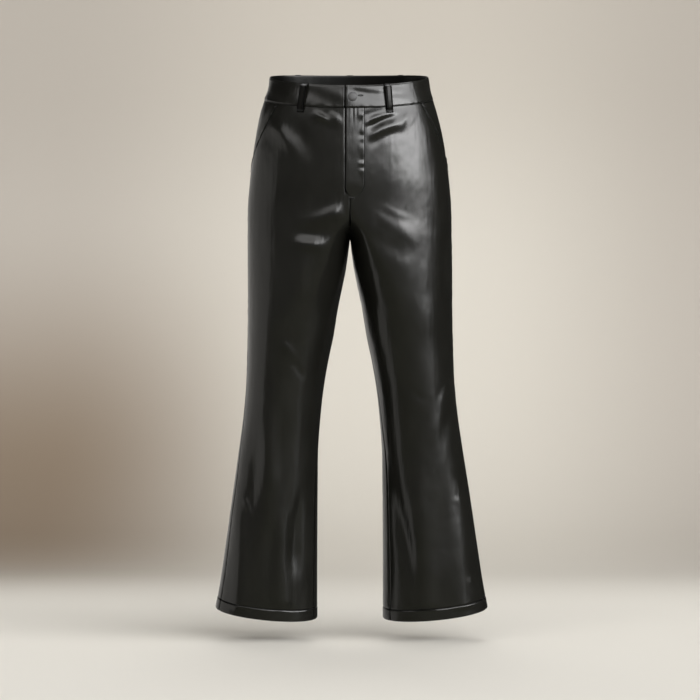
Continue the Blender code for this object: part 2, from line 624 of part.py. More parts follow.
def zip_slider(finish):
    """The slider at the top of the chain, and its tab, which hangs flat in front of the chain."""
    place, below = (
        front_cloth(np.array([ZIP_MIDDLE]), np.array([z]), 0.0)[0] for z in (SLIDER_Z, SLIDER_Z - 0.020)
    )
    lean = math.atan2(below[1] - place[1], place[2] - below[2])
    turn = (lean, 0.0, 0.0)
    low, high = (-0.0042, 0.0001, -0.0042), (0.0042, 0.0015, 0.0042)
    box_at("zip_slider", low, high, place, turn, 0.0003, finish)
    low, high = (-0.0023, 0.0, -0.0240), (0.0023, 0.0007, -0.0046)
    box_at("zip_pull_tab", low, high, place, turn, 0.0002, finish)


# ---------------------------------------------------------------- pockets


def pocket_facing(name, side, finish):
    """The cloth that shows behind the slanted edge, from the waist seam to the side seam."""
    heights = np.linspace(POCKET_END + 0.014, SIDE_TOP - BAND_HEIGHT, 10)
    heights = np.concatenate([[POCKET_END - 0.016, POCKET_END], heights])
    share = np.linspace(0.0, 1.0, 9)
    height = np.repeat(heights[:, None], len(share), axis=1)
    z = height
    for _ in range(4):
        edge = np.where(z > POCKET_END, slant_angle(side, z), side_angle(side, z))
        inner = edge - POCKET_LAP / reach(side, edge, z)
        outer = side_angle(side, z)
        outer = outer - HALF_GAP / reach(side, outer, z)
        angle = inner + (outer - inner) * share[None, :]
        z = settled(height, angle)
    past = (angle - edge) * reach(side, edge, z)  # distance outside the slanted edge
    sunk = 1 - ease((past - 0.003) / 0.022)
    lift = -(CLOTH + LAYER_GAP + 0.0001) * sunk
    return wall(name, cloth(side, angle, z, lift), cloth(side, angle, z, lift - CLOTH), finish)


def pocket_bag(name, side, finish):
    """The pocketing inside, hanging from the waist seam behind the front."""
    heights = np.linspace(POCKET_LOW, SIDE_TOP - BAND_HEIGHT, 11)
    share = np.linspace(0.0, 1.0, 7)
    height = np.repeat(heights[:, None], len(share), axis=1)
    rounded = POCKET_END - 0.03
    down = np.clip((rounded - height) / (rounded - POCKET_LOW), 0.0, 0.97)
    shrink = np.sqrt(1 - down**2)
    z = height
    for _ in range(4):
        middle = angle_at(side, 0.108, z)
        low = angle_at(side, 0.050, z)
        high = angle_at(side, 0.170, z)
        start = middle + (low - middle) * shrink
        end = middle + (high - middle) * shrink
        end = np.minimum(end, side_angle(side, z) - 0.02)
        angle = start + (end - start) * share[None, :]
        z = settled(height, angle)
    lift = -(2 * CLOTH + 0.0012) - 0.0055 * ease((heights[-1] - height) / 0.030)
    return wall(name, cloth(side, angle, z, lift), cloth(side, angle, z, lift - POCKETING), finish)


# ---------------------------------------------------------------- button


def button(finish):
    """A domed button on a short neck, standing on the waistband's lap."""
    r = BUTTON_RADIUS
    turns = np.radians([0, 20, 40, 60, 76, 90])
    dome = [(r * math.sin(turn), BUTTON_RIM + BUTTON_DOME * math.cos(turn)) for turn in turns]
    neck = 0.34 * r
    under = [(0.95 * r, BUTTON_STAND + 0.0003), (0.80 * r, BUTTON_STAND), (neck, BUTTON_STAND)]
    profile = dome + under + [(neck, 0.0), (0.0, 0.0)]
    mesh = bpy.data.meshes.new("button")
    edges = [(i, i + 1) for i in range(len(profile) - 1)]
    mesh.from_pydata([(x, 0.0, z) for x, z in profile], edges, [])
    made = add_object("button", mesh, finish)
    turned = made.modifiers.new("turned", "SCREW")
    turned.axis = "Z"
    turned.steps = turned.render_steps = 24
    turned.use_merge_vertices = True
    turned.merge_threshold = 0.0001
    place = np.array([turn_at(BUTTON_X)]), np.array([0.5])
    foot, above = (band(*place, BAND_PROUD + LAYER_GAP + up)[0] for up in (0.0, 0.001))
    made.rotation_euler = Vector(above - foot).to_track_quat("Z", "Y").to_euler()
    made.location = foot
    return made


# ---------------------------------------------------------------- the garment


def main():
    for leftover in list(bpy.data.objects):
        bpy.data.objects.remove(leftover)
    bpy.context.scene.collection.children.link(bpy.data.collections.new("coated_trousers"))
    coated = material("coated_cloth", COATED_BLACK, 0.32)
    cotton = material("pocketing", COTTON_BLACK, 0.9)
    dark_metal = material("button", BUTTON_GREY, 0.35, 0.6)
    zip_black = material("zip", ZIP_BLACK, 0.6)

    for side, word in ((RIGHT, "right"), (LEFT, "left")):
        leg_panel(f"front_{word}", side, FRONT, coated)
        leg_panel(f"back_{word}", side, BACK, coated)
        pocket_facing(f"pocket_facing_{word}", side, coated)
        pocket_bag(f"pocket_bag_{word}", side, cotton)
    waistbands(coated)
    for loop in LOOPS:
        belt_loop(loop, coated)
    fly_flap(coated)
    zip_tape(zip_black)
    zip_slider(dark_metal)
    button(dark_metal)


main()
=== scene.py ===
"""Looks of the coated trousers: black coated cloth with its sewing, in a plain pale studio.

Laid out as a Blender add-on and run as a script. Metres, +Z up, the front faces -Y. Right and left are the
wearer's own: right is at -X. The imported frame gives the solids, and each cloth piece here follows the form of
its solid with a finer mesh and finer folds.
"""

import math
from collections import namedtuple

import bmesh
import bpy
import numpy as np
from bpy.props import FloatProperty, FloatVectorProperty, PointerProperty
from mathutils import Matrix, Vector


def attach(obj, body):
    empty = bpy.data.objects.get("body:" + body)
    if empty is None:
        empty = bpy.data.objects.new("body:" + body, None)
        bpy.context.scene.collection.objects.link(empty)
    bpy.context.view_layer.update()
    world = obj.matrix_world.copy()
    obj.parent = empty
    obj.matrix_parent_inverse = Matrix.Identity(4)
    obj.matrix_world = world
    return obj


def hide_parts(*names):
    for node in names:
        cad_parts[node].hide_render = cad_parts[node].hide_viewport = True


bl_info = {
    "name": "Coated Trousers",
    "version": (1, 0, 0),
    "blender": (4, 5, 0),
    "location": "View3D > Sidebar > Trousers",
    "description": "Builds black coated trousers, their sewing and a plain studio around the packed frame",
    "category": "Object",
}

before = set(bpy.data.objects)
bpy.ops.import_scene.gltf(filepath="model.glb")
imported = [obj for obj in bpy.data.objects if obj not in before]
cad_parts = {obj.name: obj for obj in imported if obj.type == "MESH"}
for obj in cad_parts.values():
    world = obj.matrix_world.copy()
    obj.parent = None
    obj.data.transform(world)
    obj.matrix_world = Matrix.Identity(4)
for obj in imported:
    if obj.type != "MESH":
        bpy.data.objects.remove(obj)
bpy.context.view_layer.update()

RIGHT, LEFT = -1, 1
FRONT, BACK = 1, -1
WORD = {RIGHT: "right", LEFT: "left"}

# ---------------------------------------------------------------- sizes of the cut

HALF_GAP = -0.0001  # sewn edges meet, each a little past the seam
MIDDLE_LAP = 0.0006  # and further past the middle seam
SEAM_WIDE = 0.0020  # of the groove along a seam
GATHER_FROM = 0.004  # gathers are highest this far from a seam
GATHER_WIDE = 0.006  # and fade over this distance on both sides of it
BAND_CLOTH = 0.0024
BAND_PROUD = 0.0008
BAND_HEIGHT = 0.0435
BAND_RADIUS = 0.155  # turns its angles into distances
BAND_MIDDLE_HEIGHT = -0.022  # where its widths beside the middle front are taken
BAND_WAVE = 0.00055
BAND_CREASE = 0.0006
BAND_SEWN = 0.0019  # its stitched lines lie this far inside its edges
HEM_CLOTH = 0.0026
HEM_TURN = 0.021
HEM_HEIGHT = -0.995
HEM_PROUD = 0.0004  # the turned-up hem stands out this far
HEM_GROOVE = 0.0007  # and its stitches draw it in this far
CROTCH = -0.290
HIP_LINE = -0.165
LEG_SPREAD = 0.106
LEG_ROUND = -0.460
SIDE_TOP = 0.0209
TOP_TILT = 0.0207
TOP_DIP = 0.0068
TILT_FADE = 0.150
HEM_TILT = 0.010
HEM_DIP = 0.009
HEM_FADE = 0.250
FACE_FADE = 0.30
MIDDLE_FADE = 0.016
WAIST_FADE = 0.020
CREASE_FADE = 0.004

LAP_EDGE = -0.0078
UNDERLAP_END = 0.030
FLY_WIDE = 0.0285
FLY_STRAIGHT = -0.188
FLY_END = -0.2175
FLY_TOP = -0.0514
FLY_SLOT = (-0.0022, 0.0140)
FLY_SLOT_END = -0.196
FLAP_SEWN = 0.0020  # its stitched line lies this far inside its edge
FLAP_GROOVE = 0.0008
LAP_RISE = 0.0012  # the lap's edge stands further out, and slopes down over this angle
LAP_SLOPE = 0.26
FLAP_EDGE = 0.0024  # the flap is this far out at its free edge and that far beside its stitches
FLAP_INNER = 0.0011
FLY_CURVE = 0.0010  # x of the middle of its lower curve
LAYER_GAP = 0.0003

POCKET_TOP_X = 0.1355
POCKET_END = -0.165
POCKET_LAP = 0.014
POCKET_SEWN = 0.0050  # the stitched line beside its edge

ZIP_MIDDLE = 0.0060
CHAIN_HALF = 0.0030
ZIP_END = -0.1995
SLIDER_Z = -0.0700
SLIDER_BELOW = 0.0045

LOOP_WIDE = 0.0120
LOOP_CLOTH = 0.0022
LOOP_SEWN = 0.0022  # its stitched lines lie this far inside its edges
LOOP_TOP = 1.02  # its upper end, as a share of the height of the waistband
LOOP_TACKS = (-0.17, 0.965)
LOOP_BELOW = 0.0105
LOOP_LEAN = 0.0058  # a loop stands further out towards its upper end

BUTTON_X = 0.0046
BUTTON_RADIUS = 0.0086
BUTTON_STAND = 0.0010
BUTTON_RIM = 0.0019
BUTTON_DOME = 0.0027
HOLE = (0.0148, 0.0241)
HOLE_SHARE = 0.55
HOLE_STITCH = 0.0016

Section = namedtuple("Section", "height right left front back")
# Half widths to the wearer's right and left, and depths to the front and the back
SECTIONS = (
    Section(-1.020, 0.2618, 0.2680, 0.067, 0.076),
    Section(-0.940, 0.2470, 0.2527, 0.070, 0.078),
    Section(-0.860, 0.2352, 0.2405, 0.073, 0.080),
    Section(-0.760, 0.2212, 0.2257, 0.076, 0.081),
    Section(-0.680, 0.2101, 0.2130, 0.079, 0.082),
    Section(-0.620, 0.2022, 0.2044, 0.082, 0.084),
    Section(-0.560, 0.1972, 0.1984, 0.086, 0.088),
    Section(-0.500, 0.1953, 0.1961, 0.091, 0.094),
    Section(-0.420, 0.1942, 0.1944, 0.099, 0.103),
    Section(-0.340, 0.1944, 0.1942, 0.106, 0.113),
    Section(-0.280, 0.1946, 0.1932, 0.111, 0.122),
    Section(-0.220, 0.1938, 0.1919, 0.115, 0.130),
    Section(-0.180, 0.1904, 0.1885, 0.117, 0.135),
    Section(-0.140, 0.1862, 0.1839, 0.117, 0.134),
    Section(-0.100, 0.1801, 0.1773, 0.116, 0.127),
    Section(-0.075, 0.1759, 0.1721, 0.115, 0.120),
    Section(-0.046, 0.1697, 0.1645, 0.113, 0.111),
    Section(-0.022, 0.1621, 0.1573, 0.111, 0.105),
    Section(0.000, 0.1550, 0.1514, 0.109, 0.101),
    Section(0.021, 0.1522, 0.1484, 0.107, 0.099),
    Section(0.036, 0.1512, 0.1474, 0.106, 0.098),
)

Gap = namedtuple("Gap", "height inner")
# Distance of each leg's inner side from the middle
GAPS = (
    Gap(-1.020, 0.0624),
    Gap(-0.860, 0.0620),
    Gap(-0.740, 0.0612),
    Gap(-0.684, 0.0604),
    Gap(-0.631, 0.0565),
    Gap(-0.578, 0.0510),
    Gap(-0.524, 0.0422),
    Gap(-0.471, 0.0312),
    Gap(-0.418, 0.0226),
    Gap(-0.365, 0.0116),
    Gap(-0.338, 0.0065),
    Gap(-0.312, 0.0031),
    Gap(-0.290, 0.0004),
)

Seam = namedtuple("Seam", "height in_right in_left out_right out_left")
# Where the inseam and the side seam run, in degrees round the leg from its inner side to its outer side
SEAMS = (
    Seam(-1.020, 20.0, 30.0, 156.0, 163.0),
    Seam(-0.800, 19.0, 27.0, 157.0, 165.0),
    Seam(-0.650, 13.0, 18.0, 164.0, 170.0),
    Seam(-0.480, 5.0, 6.0, 172.0, 175.0),
    Seam(-0.290, 0.0, 0.0, 180.0, 180.0),
    Seam(-0.170, 0.0, 0.0, 184.0, 184.0),
    Seam(0.040, 0.0, 0.0, 183.0, 183.0),
)

Fold = namedtuple("Fold", "x0 z0 x1 z1 bow wide deep fade_in fade_out")
# A soft ridge (deep > 0) or trough (deep < 0) from one place to another, as seen from the front or the back,
# with x from the middle outwards. It bows aside, and fades in and out over shares of its length.
# The largest ones, nearly as in the solids, for each side and face:
FOLDS = {
    (RIGHT, FRONT): (
        # hip and fly
        Fold(0.153, -0.06, 0.079, -0.168, 0.002, 0.012, 0.0026, 0.3, 0.6),
        Fold(0.117, -0.06, 0.065, -0.16, 0.006, 0.014, -0.0021, 0.4, 0.5),
        Fold(0.078, -0.06, 0.01, -0.082, 0.003, 0.008, 0.0022, 0.35, 0.35),
        # crotch and thigh
        Fold(0.006, -0.238, 0.118, -0.262, 0.008, 0.015, 0.0045, 0.2, 0.8),
        Fold(0.012, -0.277, 0.12, -0.275, 0.004, 0.016, -0.0028, 0.3, 0.5),
        Fold(0.04, -0.304, 0.112, -0.292, 0.004, 0.013, 0.0036, 0.45, 0.45),
        Fold(0.1, -0.285, 0.084, -0.47, 0.006, 0.013, 0.002, 0.25, 0.6),
        # knee and flare
        Fold(0.16, -0.54, 0.126, -0.99, 0.004, 0.017, 0.006, 0.5, 0.05),
        Fold(0.128, -0.56, 0.152, -0.96, 0.004, 0.014, -0.005, 0.5, 0.3),
        Fold(0.094, -0.76, 0.104, -0.94, -0.004, 0.014, -0.005, 0.45, 0.35),
        Fold(0.176, -0.62, 0.198, -0.86, 0.004, 0.016, -0.005, 0.4, 0.4),
        Fold(0.206, -0.74, 0.206, -0.99, 0.0, 0.018, 0.0045, 0.4, 0.05),
    ),
    (LEFT, FRONT): (
        # hip and fly
        Fold(0.034, -0.078, 0.108, -0.05, -0.007, 0.007, 0.0021, 0.2, 0.45),
        Fold(0.032, -0.092, 0.12, -0.056, -0.012, 0.01, -0.0028, 0.25, 0.5),
        Fold(0.036, -0.118, 0.132, -0.056, -0.016, 0.016, 0.0024, 0.35, 0.4),
        # crotch and thigh
        Fold(0.03, -0.244, 0.15, -0.29, 0.004, 0.016, 0.0009, 0.3, 0.5),
        Fold(0.022, -0.276, 0.138, -0.33, 0.004, 0.016, -0.0008, 0.3, 0.45),
        Fold(0.034, -0.3, 0.136, -0.356, 0.004, 0.018, 0.0004, 0.35, 0.5),
        # knee and flare
        Fold(0.064, -0.64, 0.128, -0.955, 0.006, 0.015, -0.0046, 0.45, 0.35),
        Fold(0.132, -0.66, 0.142, -0.99, 0.004, 0.02, 0.0065, 0.5, 0.05),
        Fold(0.176, -0.66, 0.166, -0.93, -0.004, 0.017, -0.0034, 0.6, 0.35),
        Fold(0.196, -0.56, 0.15, -0.69, 0.004, 0.011, 0.001, 0.3, 0.45),
        Fold(0.186, -0.59, 0.16, -0.72, 0.0, 0.013, -0.001, 0.35, 0.45),
        Fold(0.208, -0.72, 0.214, -0.99, 0.0, 0.019, 0.0028, 0.55, 0.05),
    ),
    (RIGHT, BACK): (
        # under the seat, behind the knee and in the flare
        Fold(0.02, -0.3, 0.15, -0.258, -0.008, 0.019, 0.0036, 0.4, 0.45),
        Fold(0.022, -0.338, 0.158, -0.302, -0.006, 0.018, -0.0038, 0.35, 0.45),
        Fold(0.034, -0.38, 0.14, -0.358, 0.0, 0.018, 0.0028, 0.35, 0.45),
        Fold(0.07, -0.56, 0.176, -0.596, 0.004, 0.014, 0.004, 0.35, 0.4),
        Fold(0.068, -0.59, 0.176, -0.628, 0.004, 0.013, -0.0042, 0.35, 0.4),
        Fold(0.118, -0.66, 0.134, -0.99, 0.0, 0.018, 0.006, 0.5, 0.05),
        Fold(0.16, -0.64, 0.186, -0.95, 0.004, 0.015, -0.0055, 0.45, 0.3),
        Fold(0.092, -0.74, 0.094, -0.96, 0.0, 0.014, -0.0045, 0.45, 0.3),
        # seat, from the waistband down
        Fold(0.03, -0.03, 0.09, -0.12, 0.0, 0.012, 0.002, 0.3, 0.6),
    ),
    (LEFT, BACK): (
        # under the seat, behind the knee and in the flare
        Fold(0.016, -0.292, 0.142, -0.246, -0.007, 0.019, 0.0038, 0.4, 0.5),
        Fold(0.02, -0.33, 0.152, -0.288, -0.006, 0.018, -0.0038, 0.35, 0.45),
        Fold(0.04, -0.374, 0.15, -0.344, 0.004, 0.018, 0.0026, 0.35, 0.45),
        Fold(0.062, -0.586, 0.172, -0.556, 0.0, 0.014, 0.0042, 0.35, 0.4),
        Fold(0.066, -0.616, 0.178, -0.59, 0.0, 0.013, -0.004, 0.35, 0.4),
        Fold(0.126, -0.65, 0.15, -0.99, 0.0, 0.02, 0.0065, 0.5, 0.05),
        Fold(0.096, -0.66, 0.11, -0.96, 0.004, 0.015, -0.0055, 0.45, 0.3),
        Fold(0.176, -0.68, 0.198, -0.94, 0.0, 0.015, -0.005, 0.45, 0.3),
        # seat, from the waistband down
        Fold(0.026, -0.03, 0.096, -0.116, 0.0, 0.012, 0.0022, 0.3, 0.6),
    ),
}
# Finer ones that only this mesh has room for:
CREASES = {
    (RIGHT, FRONT): (
        # short ones under the waistband
        Fold(0.072, -0.053, 0.034, -0.082, 0.002, 0.0042, 0.0011, 0.3, 0.5),
        Fold(0.04, -0.056, 0.012, -0.076, 0.001, 0.0036, 0.001, 0.3, 0.5),
        Fold(0.054, -0.056, 0.02, -0.086, 0.001, 0.004, -0.0009, 0.3, 0.5),
        # crotch and thigh
        Fold(0.004, -0.225, 0.07, -0.242, 0.005, 0.008, 0.0005, 0.3, 0.7),
        Fold(0.006, -0.256, 0.064, -0.262, 0.003, 0.007, -0.0012, 0.2, 0.6),
        Fold(0.07, -0.312, 0.1, -0.37, 0.004, 0.006, 0.0012, 0.3, 0.5),
        # knee
        Fold(0.13, -0.48, 0.1, -0.525, 0.004, 0.007, 0.0016, 0.3, 0.5),
        Fold(0.11, -0.515, 0.085, -0.56, 0.003, 0.006, -0.0014, 0.3, 0.5),
        Fold(0.056, -0.394, 0.074, -0.54, 0.006, 0.008, 0.0014, 0.3, 0.6),
        # calf and hem
        Fold(0.092, -0.742, 0.112, -0.91, 0.004, 0.007, -0.0016, 0.3, 0.5),
        Fold(0.202, -0.77, 0.182, -0.826, 0.002, 0.005, 0.0014, 0.3, 0.4),
        Fold(0.078, -0.932, 0.084, -0.994, 0.0, 0.007, 0.0008, 0.4, 0.1),
    ),
    (LEFT, FRONT): (
        # fanning out from the top of the fly
        Fold(0.024, -0.08, 0.1, -0.056, -0.004, 0.0042, 0.0009, 0.12, 0.4),
        Fold(0.016, -0.066, 0.08, -0.052, -0.001, 0.0055, -0.0007, 0.2, 0.4),
        Fold(0.026, -0.0915, 0.106, -0.066, -0.006, 0.007, -0.0012, 0.2, 0.5),
        Fold(0.03, -0.108, 0.113, -0.078, -0.008, 0.006, 0.0008, 0.2, 0.45),
        Fold(0.03, -0.123, 0.115, -0.092, -0.009, 0.008, -0.001, 0.25, 0.5),
        Fold(0.088, -0.108, 0.113, -0.05, -0.004, 0.004, 0.0005, 0.4, 0.3),
        Fold(0.11, -0.096, 0.13, -0.056, 0.0, 0.0045, -0.0004, 0.4, 0.3),
        # crotch and thigh
        Fold(0.05, -0.225, 0.12, -0.256, 0.003, 0.006, 0.0004, 0.3, 0.4),
        Fold(0.04, -0.248, 0.09, -0.29, 0.003, 0.007, -0.0004, 0.3, 0.5),
        Fold(0.08, -0.27, 0.14, -0.305, 0.002, 0.007, 0.0003, 0.4, 0.4),
        # the soft swells of the hip and thigh
        Fold(0.06, -0.205, 0.19, -0.205, 0.0, 0.045, 0.0012, 0.35, 0.25),
        Fold(0.05, -0.262, 0.2, -0.27, 0.0, 0.055, 0.0012, 0.35, 0.25),
        Fold(0.08, -0.395, 0.2, -0.4, 0.0, 0.055, -0.0026, 0.35, 0.25),
        Fold(0.08, -0.47, 0.2, -0.474, 0.0, 0.06, -0.0024, 0.35, 0.25),
        # knee
        Fold(0.092, -0.546, 0.156, -0.598, 0.008, 0.007, -0.0008, 0.25, 0.4),
        Fold(0.19, -0.558, 0.16, -0.628, 0.005, 0.006, 0.0005, 0.2, 0.5),
        Fold(0.17, -0.56, 0.164, -0.652, 0.004, 0.0055, -0.0004, 0.25, 0.5),
        Fold(0.048, -0.4, 0.072, -0.55, 0.006, 0.008, 0.0014, 0.3, 0.6),
        # calf and hem
        Fold(0.194, -0.714, 0.218, -0.77, 0.0, 0.006, -0.0007, 0.3, 0.3),
        Fold(0.196, -0.77, 0.22, -0.81, 0.0, 0.006, 0.0007, 0.3, 0.3),
        Fold(0.22, -0.92, 0.242, -0.97, 0.0, 0.006, 0.0014, 0.3, 0.3),
    ),
    (RIGHT, BACK): (
        # seat, under the seat, knee and calf
        Fold(0.01, -0.19, 0.09, -0.246, -0.006, 0.007, 0.0014, 0.2, 0.6),
        Fold(0.01, -0.27, 0.1, -0.276, -0.004, 0.006, -0.0014, 0.2, 0.5),
        Fold(0.12, -0.39, 0.16, -0.33, 0.003, 0.006, 0.0014, 0.3, 0.5),
        Fold(0.08, -0.53, 0.14, -0.556, 0.004, 0.006, -0.0016, 0.3, 0.4),
        Fold(0.17, -0.55, 0.13, -0.65, 0.004, 0.005, 0.0014, 0.3, 0.5),
        Fold(0.15, -0.78, 0.136, -0.9, 0.004, 0.007, 0.0016, 0.3, 0.5),
    ),
    (LEFT, BACK): (
        # seat, under the seat, knee and calf
        Fold(0.008, -0.202, 0.084, -0.262, -0.006, 0.007, 0.0014, 0.2, 0.6),
        Fold(0.01, -0.262, 0.106, -0.264, -0.004, 0.006, -0.0014, 0.2, 0.5),
        Fold(0.116, -0.4, 0.154, -0.326, 0.003, 0.006, 0.0014, 0.3, 0.5),
        Fold(0.09, -0.64, 0.15, -0.61, 0.004, 0.006, 0.0016, 0.3, 0.4),
        Fold(0.174, -0.54, 0.132, -0.638, 0.004, 0.005, -0.0014, 0.3, 0.5),
        Fold(0.088, -0.76, 0.1, -0.91, 0.004, 0.007, -0.0016, 0.3, 0.5),
    ),
}


# ---------------------------------------------------------------- the form of the cloth


def ease(t):
    """0 below 0, 1 above 1, and smooth between."""
    t = np.clip(t, 0.0, 1.0)
    return t * t * (3.0 - 2.0 * t)


def bump(off, wide):
    return np.exp(-((off / wide) ** 2))


def smooth_curve(heights, values):
    """A function of height through the given places, with no jump in its slope."""
    heights, values = np.array(heights), np.array(values)
    slopes = np.gradient(values, heights)

    def at(height):
        height = np.clip(height, heights[0], heights[-1])
        i = np.clip(np.searchsorted(heights, height) - 1, 0, len(heights) - 2)
        step = heights[i + 1] - heights[i]
        t = (height - heights[i]) / step
        flat = (1 - ease(t)) * values[i] + ease(t) * values[i + 1]
        lean = slopes[i] * t * (1 - t) ** 2 - slopes[i + 1] * t * t * (1 - t)
        return flat + step * lean

    return at


def columns_of(table):
    """One smooth function of height for each column of a table."""
    heights = [row.height for row in table]
    return {
        name: smooth_curve(heights, [getattr(row, name) for row in table])
        for name in table[0]._fields[1:]
    }


BODY = columns_of(SECTIONS)
LEG = columns_of(GAPS)
SEAM = columns_of(SEAMS)


def oval(side, z):
    """Middle of the oval that the cloth follows at a height, and its half widths inward and outward."""
    outer = BODY[WORD[side]](z)
    rise = np.clip((z - CROTCH) / (HIP_LINE - CROTCH), 0.0, 1.0)
    past = LEG_SPREAD * rise * (1 - rise) ** 2 + ease(rise)
    inner = np.where(z < CROTCH, LEG["inner"](z), -outer * past)
    middle = (outer + inner) / 2 * ease((HIP_LINE - z) / (HIP_LINE - LEG_ROUND))
    return middle, middle - inner, outer - middle


def across(side, angle, z):
    """Distance from the middle of the body at an angle round the oval."""
    middle, inward, outward = oval(side, z)
    return middle - np.cos(angle) * np.where(np.cos(angle) > 0, inward, outward)


def angle_at(side, x, z):
    """Angle round the oval, 0 at its inner side and pi at its outer one, of a distance x."""
    middle, inward, outward = oval(side, z)
    return np.arccos(np.clip((middle - x) / np.where(x < middle, inward, outward), -1.0, 1.0))


def depth_at(angle, z):
    return np.where(np.sin(angle) > 0, BODY["front"](z), BODY["back"](z))


def reach(side, angle, z):
    """Length of the oval for one radian of angle."""
    middle, inward, outward = oval(side, z)
    half = np.where(np.cos(angle) > 0, inward, outward)
    return np.hypot(half * np.sin(angle), depth_at(angle, z) * np.cos(angle))


def waist_seam(angle):
    """Height of the seam between the waistband and the legs."""
    front = np.sin(angle)
    return SIDE_TOP - BAND_HEIGHT - TOP_TILT * front - TOP_DIP * front**2


def folds_of(table, side, angle, z):
    """How far the folds of a table move the cloth out. They fade before the side and the middle seam."""
    x = across(side, angle, z)
    total = np.zeros(np.shape(x))
    for face in (FRONT, BACK):
        facing = ease(face * np.sin(angle) / FACE_FADE)
        for fold in table[side, face]:
            run_x, run_z = fold.x1 - fold.x0, fold.z1 - fold.z0
            length = math.hypot(run_x, run_z)
            along = ((x - fold.x0) * run_x + (z - fold.z0) * run_z) / length**2
            off = ((x - fold.x0) * run_z - (z - fold.z0) * run_x) / length
            inside = np.clip(along, 0.0, 1.0)
            off = off - fold.bow * 4 * inside * (1 - inside)
            fade = ease(along / fold.fade_in) * ease((1 - along) / fold.fade_out) * facing
            total = total + fold.deep * fade * bump(off, fold.wide)
    from_middle = np.where(z > CROTCH, x, MIDDLE_FADE)
    return total * ease(from_middle / MIDDLE_FADE)


def fold_depth(side, angle, z):
    below = waist_seam(angle) - z
    large = folds_of(FOLDS, side, angle, z) * ease(below / WAIST_FADE)
    return large + folds_of(CREASES, side, angle, z) * ease(below / CREASE_FADE)


def skin(side, angle, z):
    """A point of the outer side of the cloth."""
    middle, inward, outward = oval(side, z)
    half = np.where(np.cos(angle) > 0, inward, outward)
    depth = depth_at(angle, z)
    out = np.stack([-np.cos(angle) * depth, -np.sin(angle) * half])
    out = out / np.hypot(out[0], out[1]) * fold_depth(side, angle, z)
    x = side * (middle - half * np.cos(angle) + out[0])
    y = -depth * np.sin(angle) + out[1]
    return np.stack([x, y, np.broadcast_to(z, np.shape(x))], axis=-1)


def cloth_and_normal(side, angle, z):
    """Points of the outer side of the cloth, and the directions out of it."""
    step = 2e-4
    round_it = skin(side, angle + step / 0.1, z) - skin(side, angle - step / 0.1, z)
    up_it = skin(side, angle, z + step) - skin(side, angle, z - step)
    normal = side * np.cross(round_it, up_it)
    normal /= np.linalg.norm(normal, axis=-1, keepdims=True)
    return skin(side, angle, z), normal


def cloth(side, angle, z, lift):
    """A point lifted off the outer side of the cloth along its normal. A negative lift goes inside."""
    here, normal = cloth_and_normal(side, angle, z)
    return here + normal * np.asarray(lift)[..., None]


def front_cloth(x, z, lift):
    """A point at a signed x, lifted straight forward off the front of the cloth."""
    side = np.where(x < 0, RIGHT, LEFT)
    found = np.empty(np.shape(x) + (3,))
    for one in (RIGHT, LEFT):
        here = side == one
        found[here] = skin(one, angle_at(one, np.abs(x[here]), z[here]), z[here])
    found[..., 0] = x
    found[..., 1] -= lift
    return found


def gathers(run, wave, seed):
    """Uneven small gathers along a seam, from 0 to 1, as a function of the distance along it."""
    swell = 0.62 + 0.38 * np.sin(run / (wave * 3.7) + 1.7 * seed)
    return swell * np.sin(run / wave + 2.1 * seed + 1.3 * np.sin(run / (wave * 2.3) + seed))


# ---------------------------------------------------------------- shader maths


class Wire:
    """A socket in an expression. Its operators add the Math nodes that they stand for."""

    def __init__(self, nodes, socket):
        self.nodes, self.socket = nodes, socket

    def math(self, operation, *others):
        sockets = {i: value for i, value in enumerate((self, *others))}
        return self.nodes.add("ShaderNodeMath", {"operation": operation}, sockets)

    def __add__(self, other):
        return self.math("ADD", other)

    def __sub__(self, other):
        return self.math("SUBTRACT", other)

    def __rsub__(self, other):
        return self.nodes.add("ShaderNodeMath", {"operation": "SUBTRACT"}, {0: other, 1: self})

    def __mul__(self, other):
        return self.math("MULTIPLY", other)

    def __truediv__(self, other):
        return self.math("DIVIDE", other)

    def __pow__(self, other):
        return self.math("POWER", other)

    def sine(self):
        return self.math("SINE")

    def between(self, low, high):
        """0 at low, 1 at high, smooth between."""
        settings = {"interpolation_type": "SMOOTHSTEP"}
        return self.nodes.add("ShaderNodeMapRange", settings, {"Value": self, 1: low, 2: high})

    __radd__ = __add__
    __rmul__ = __mul__


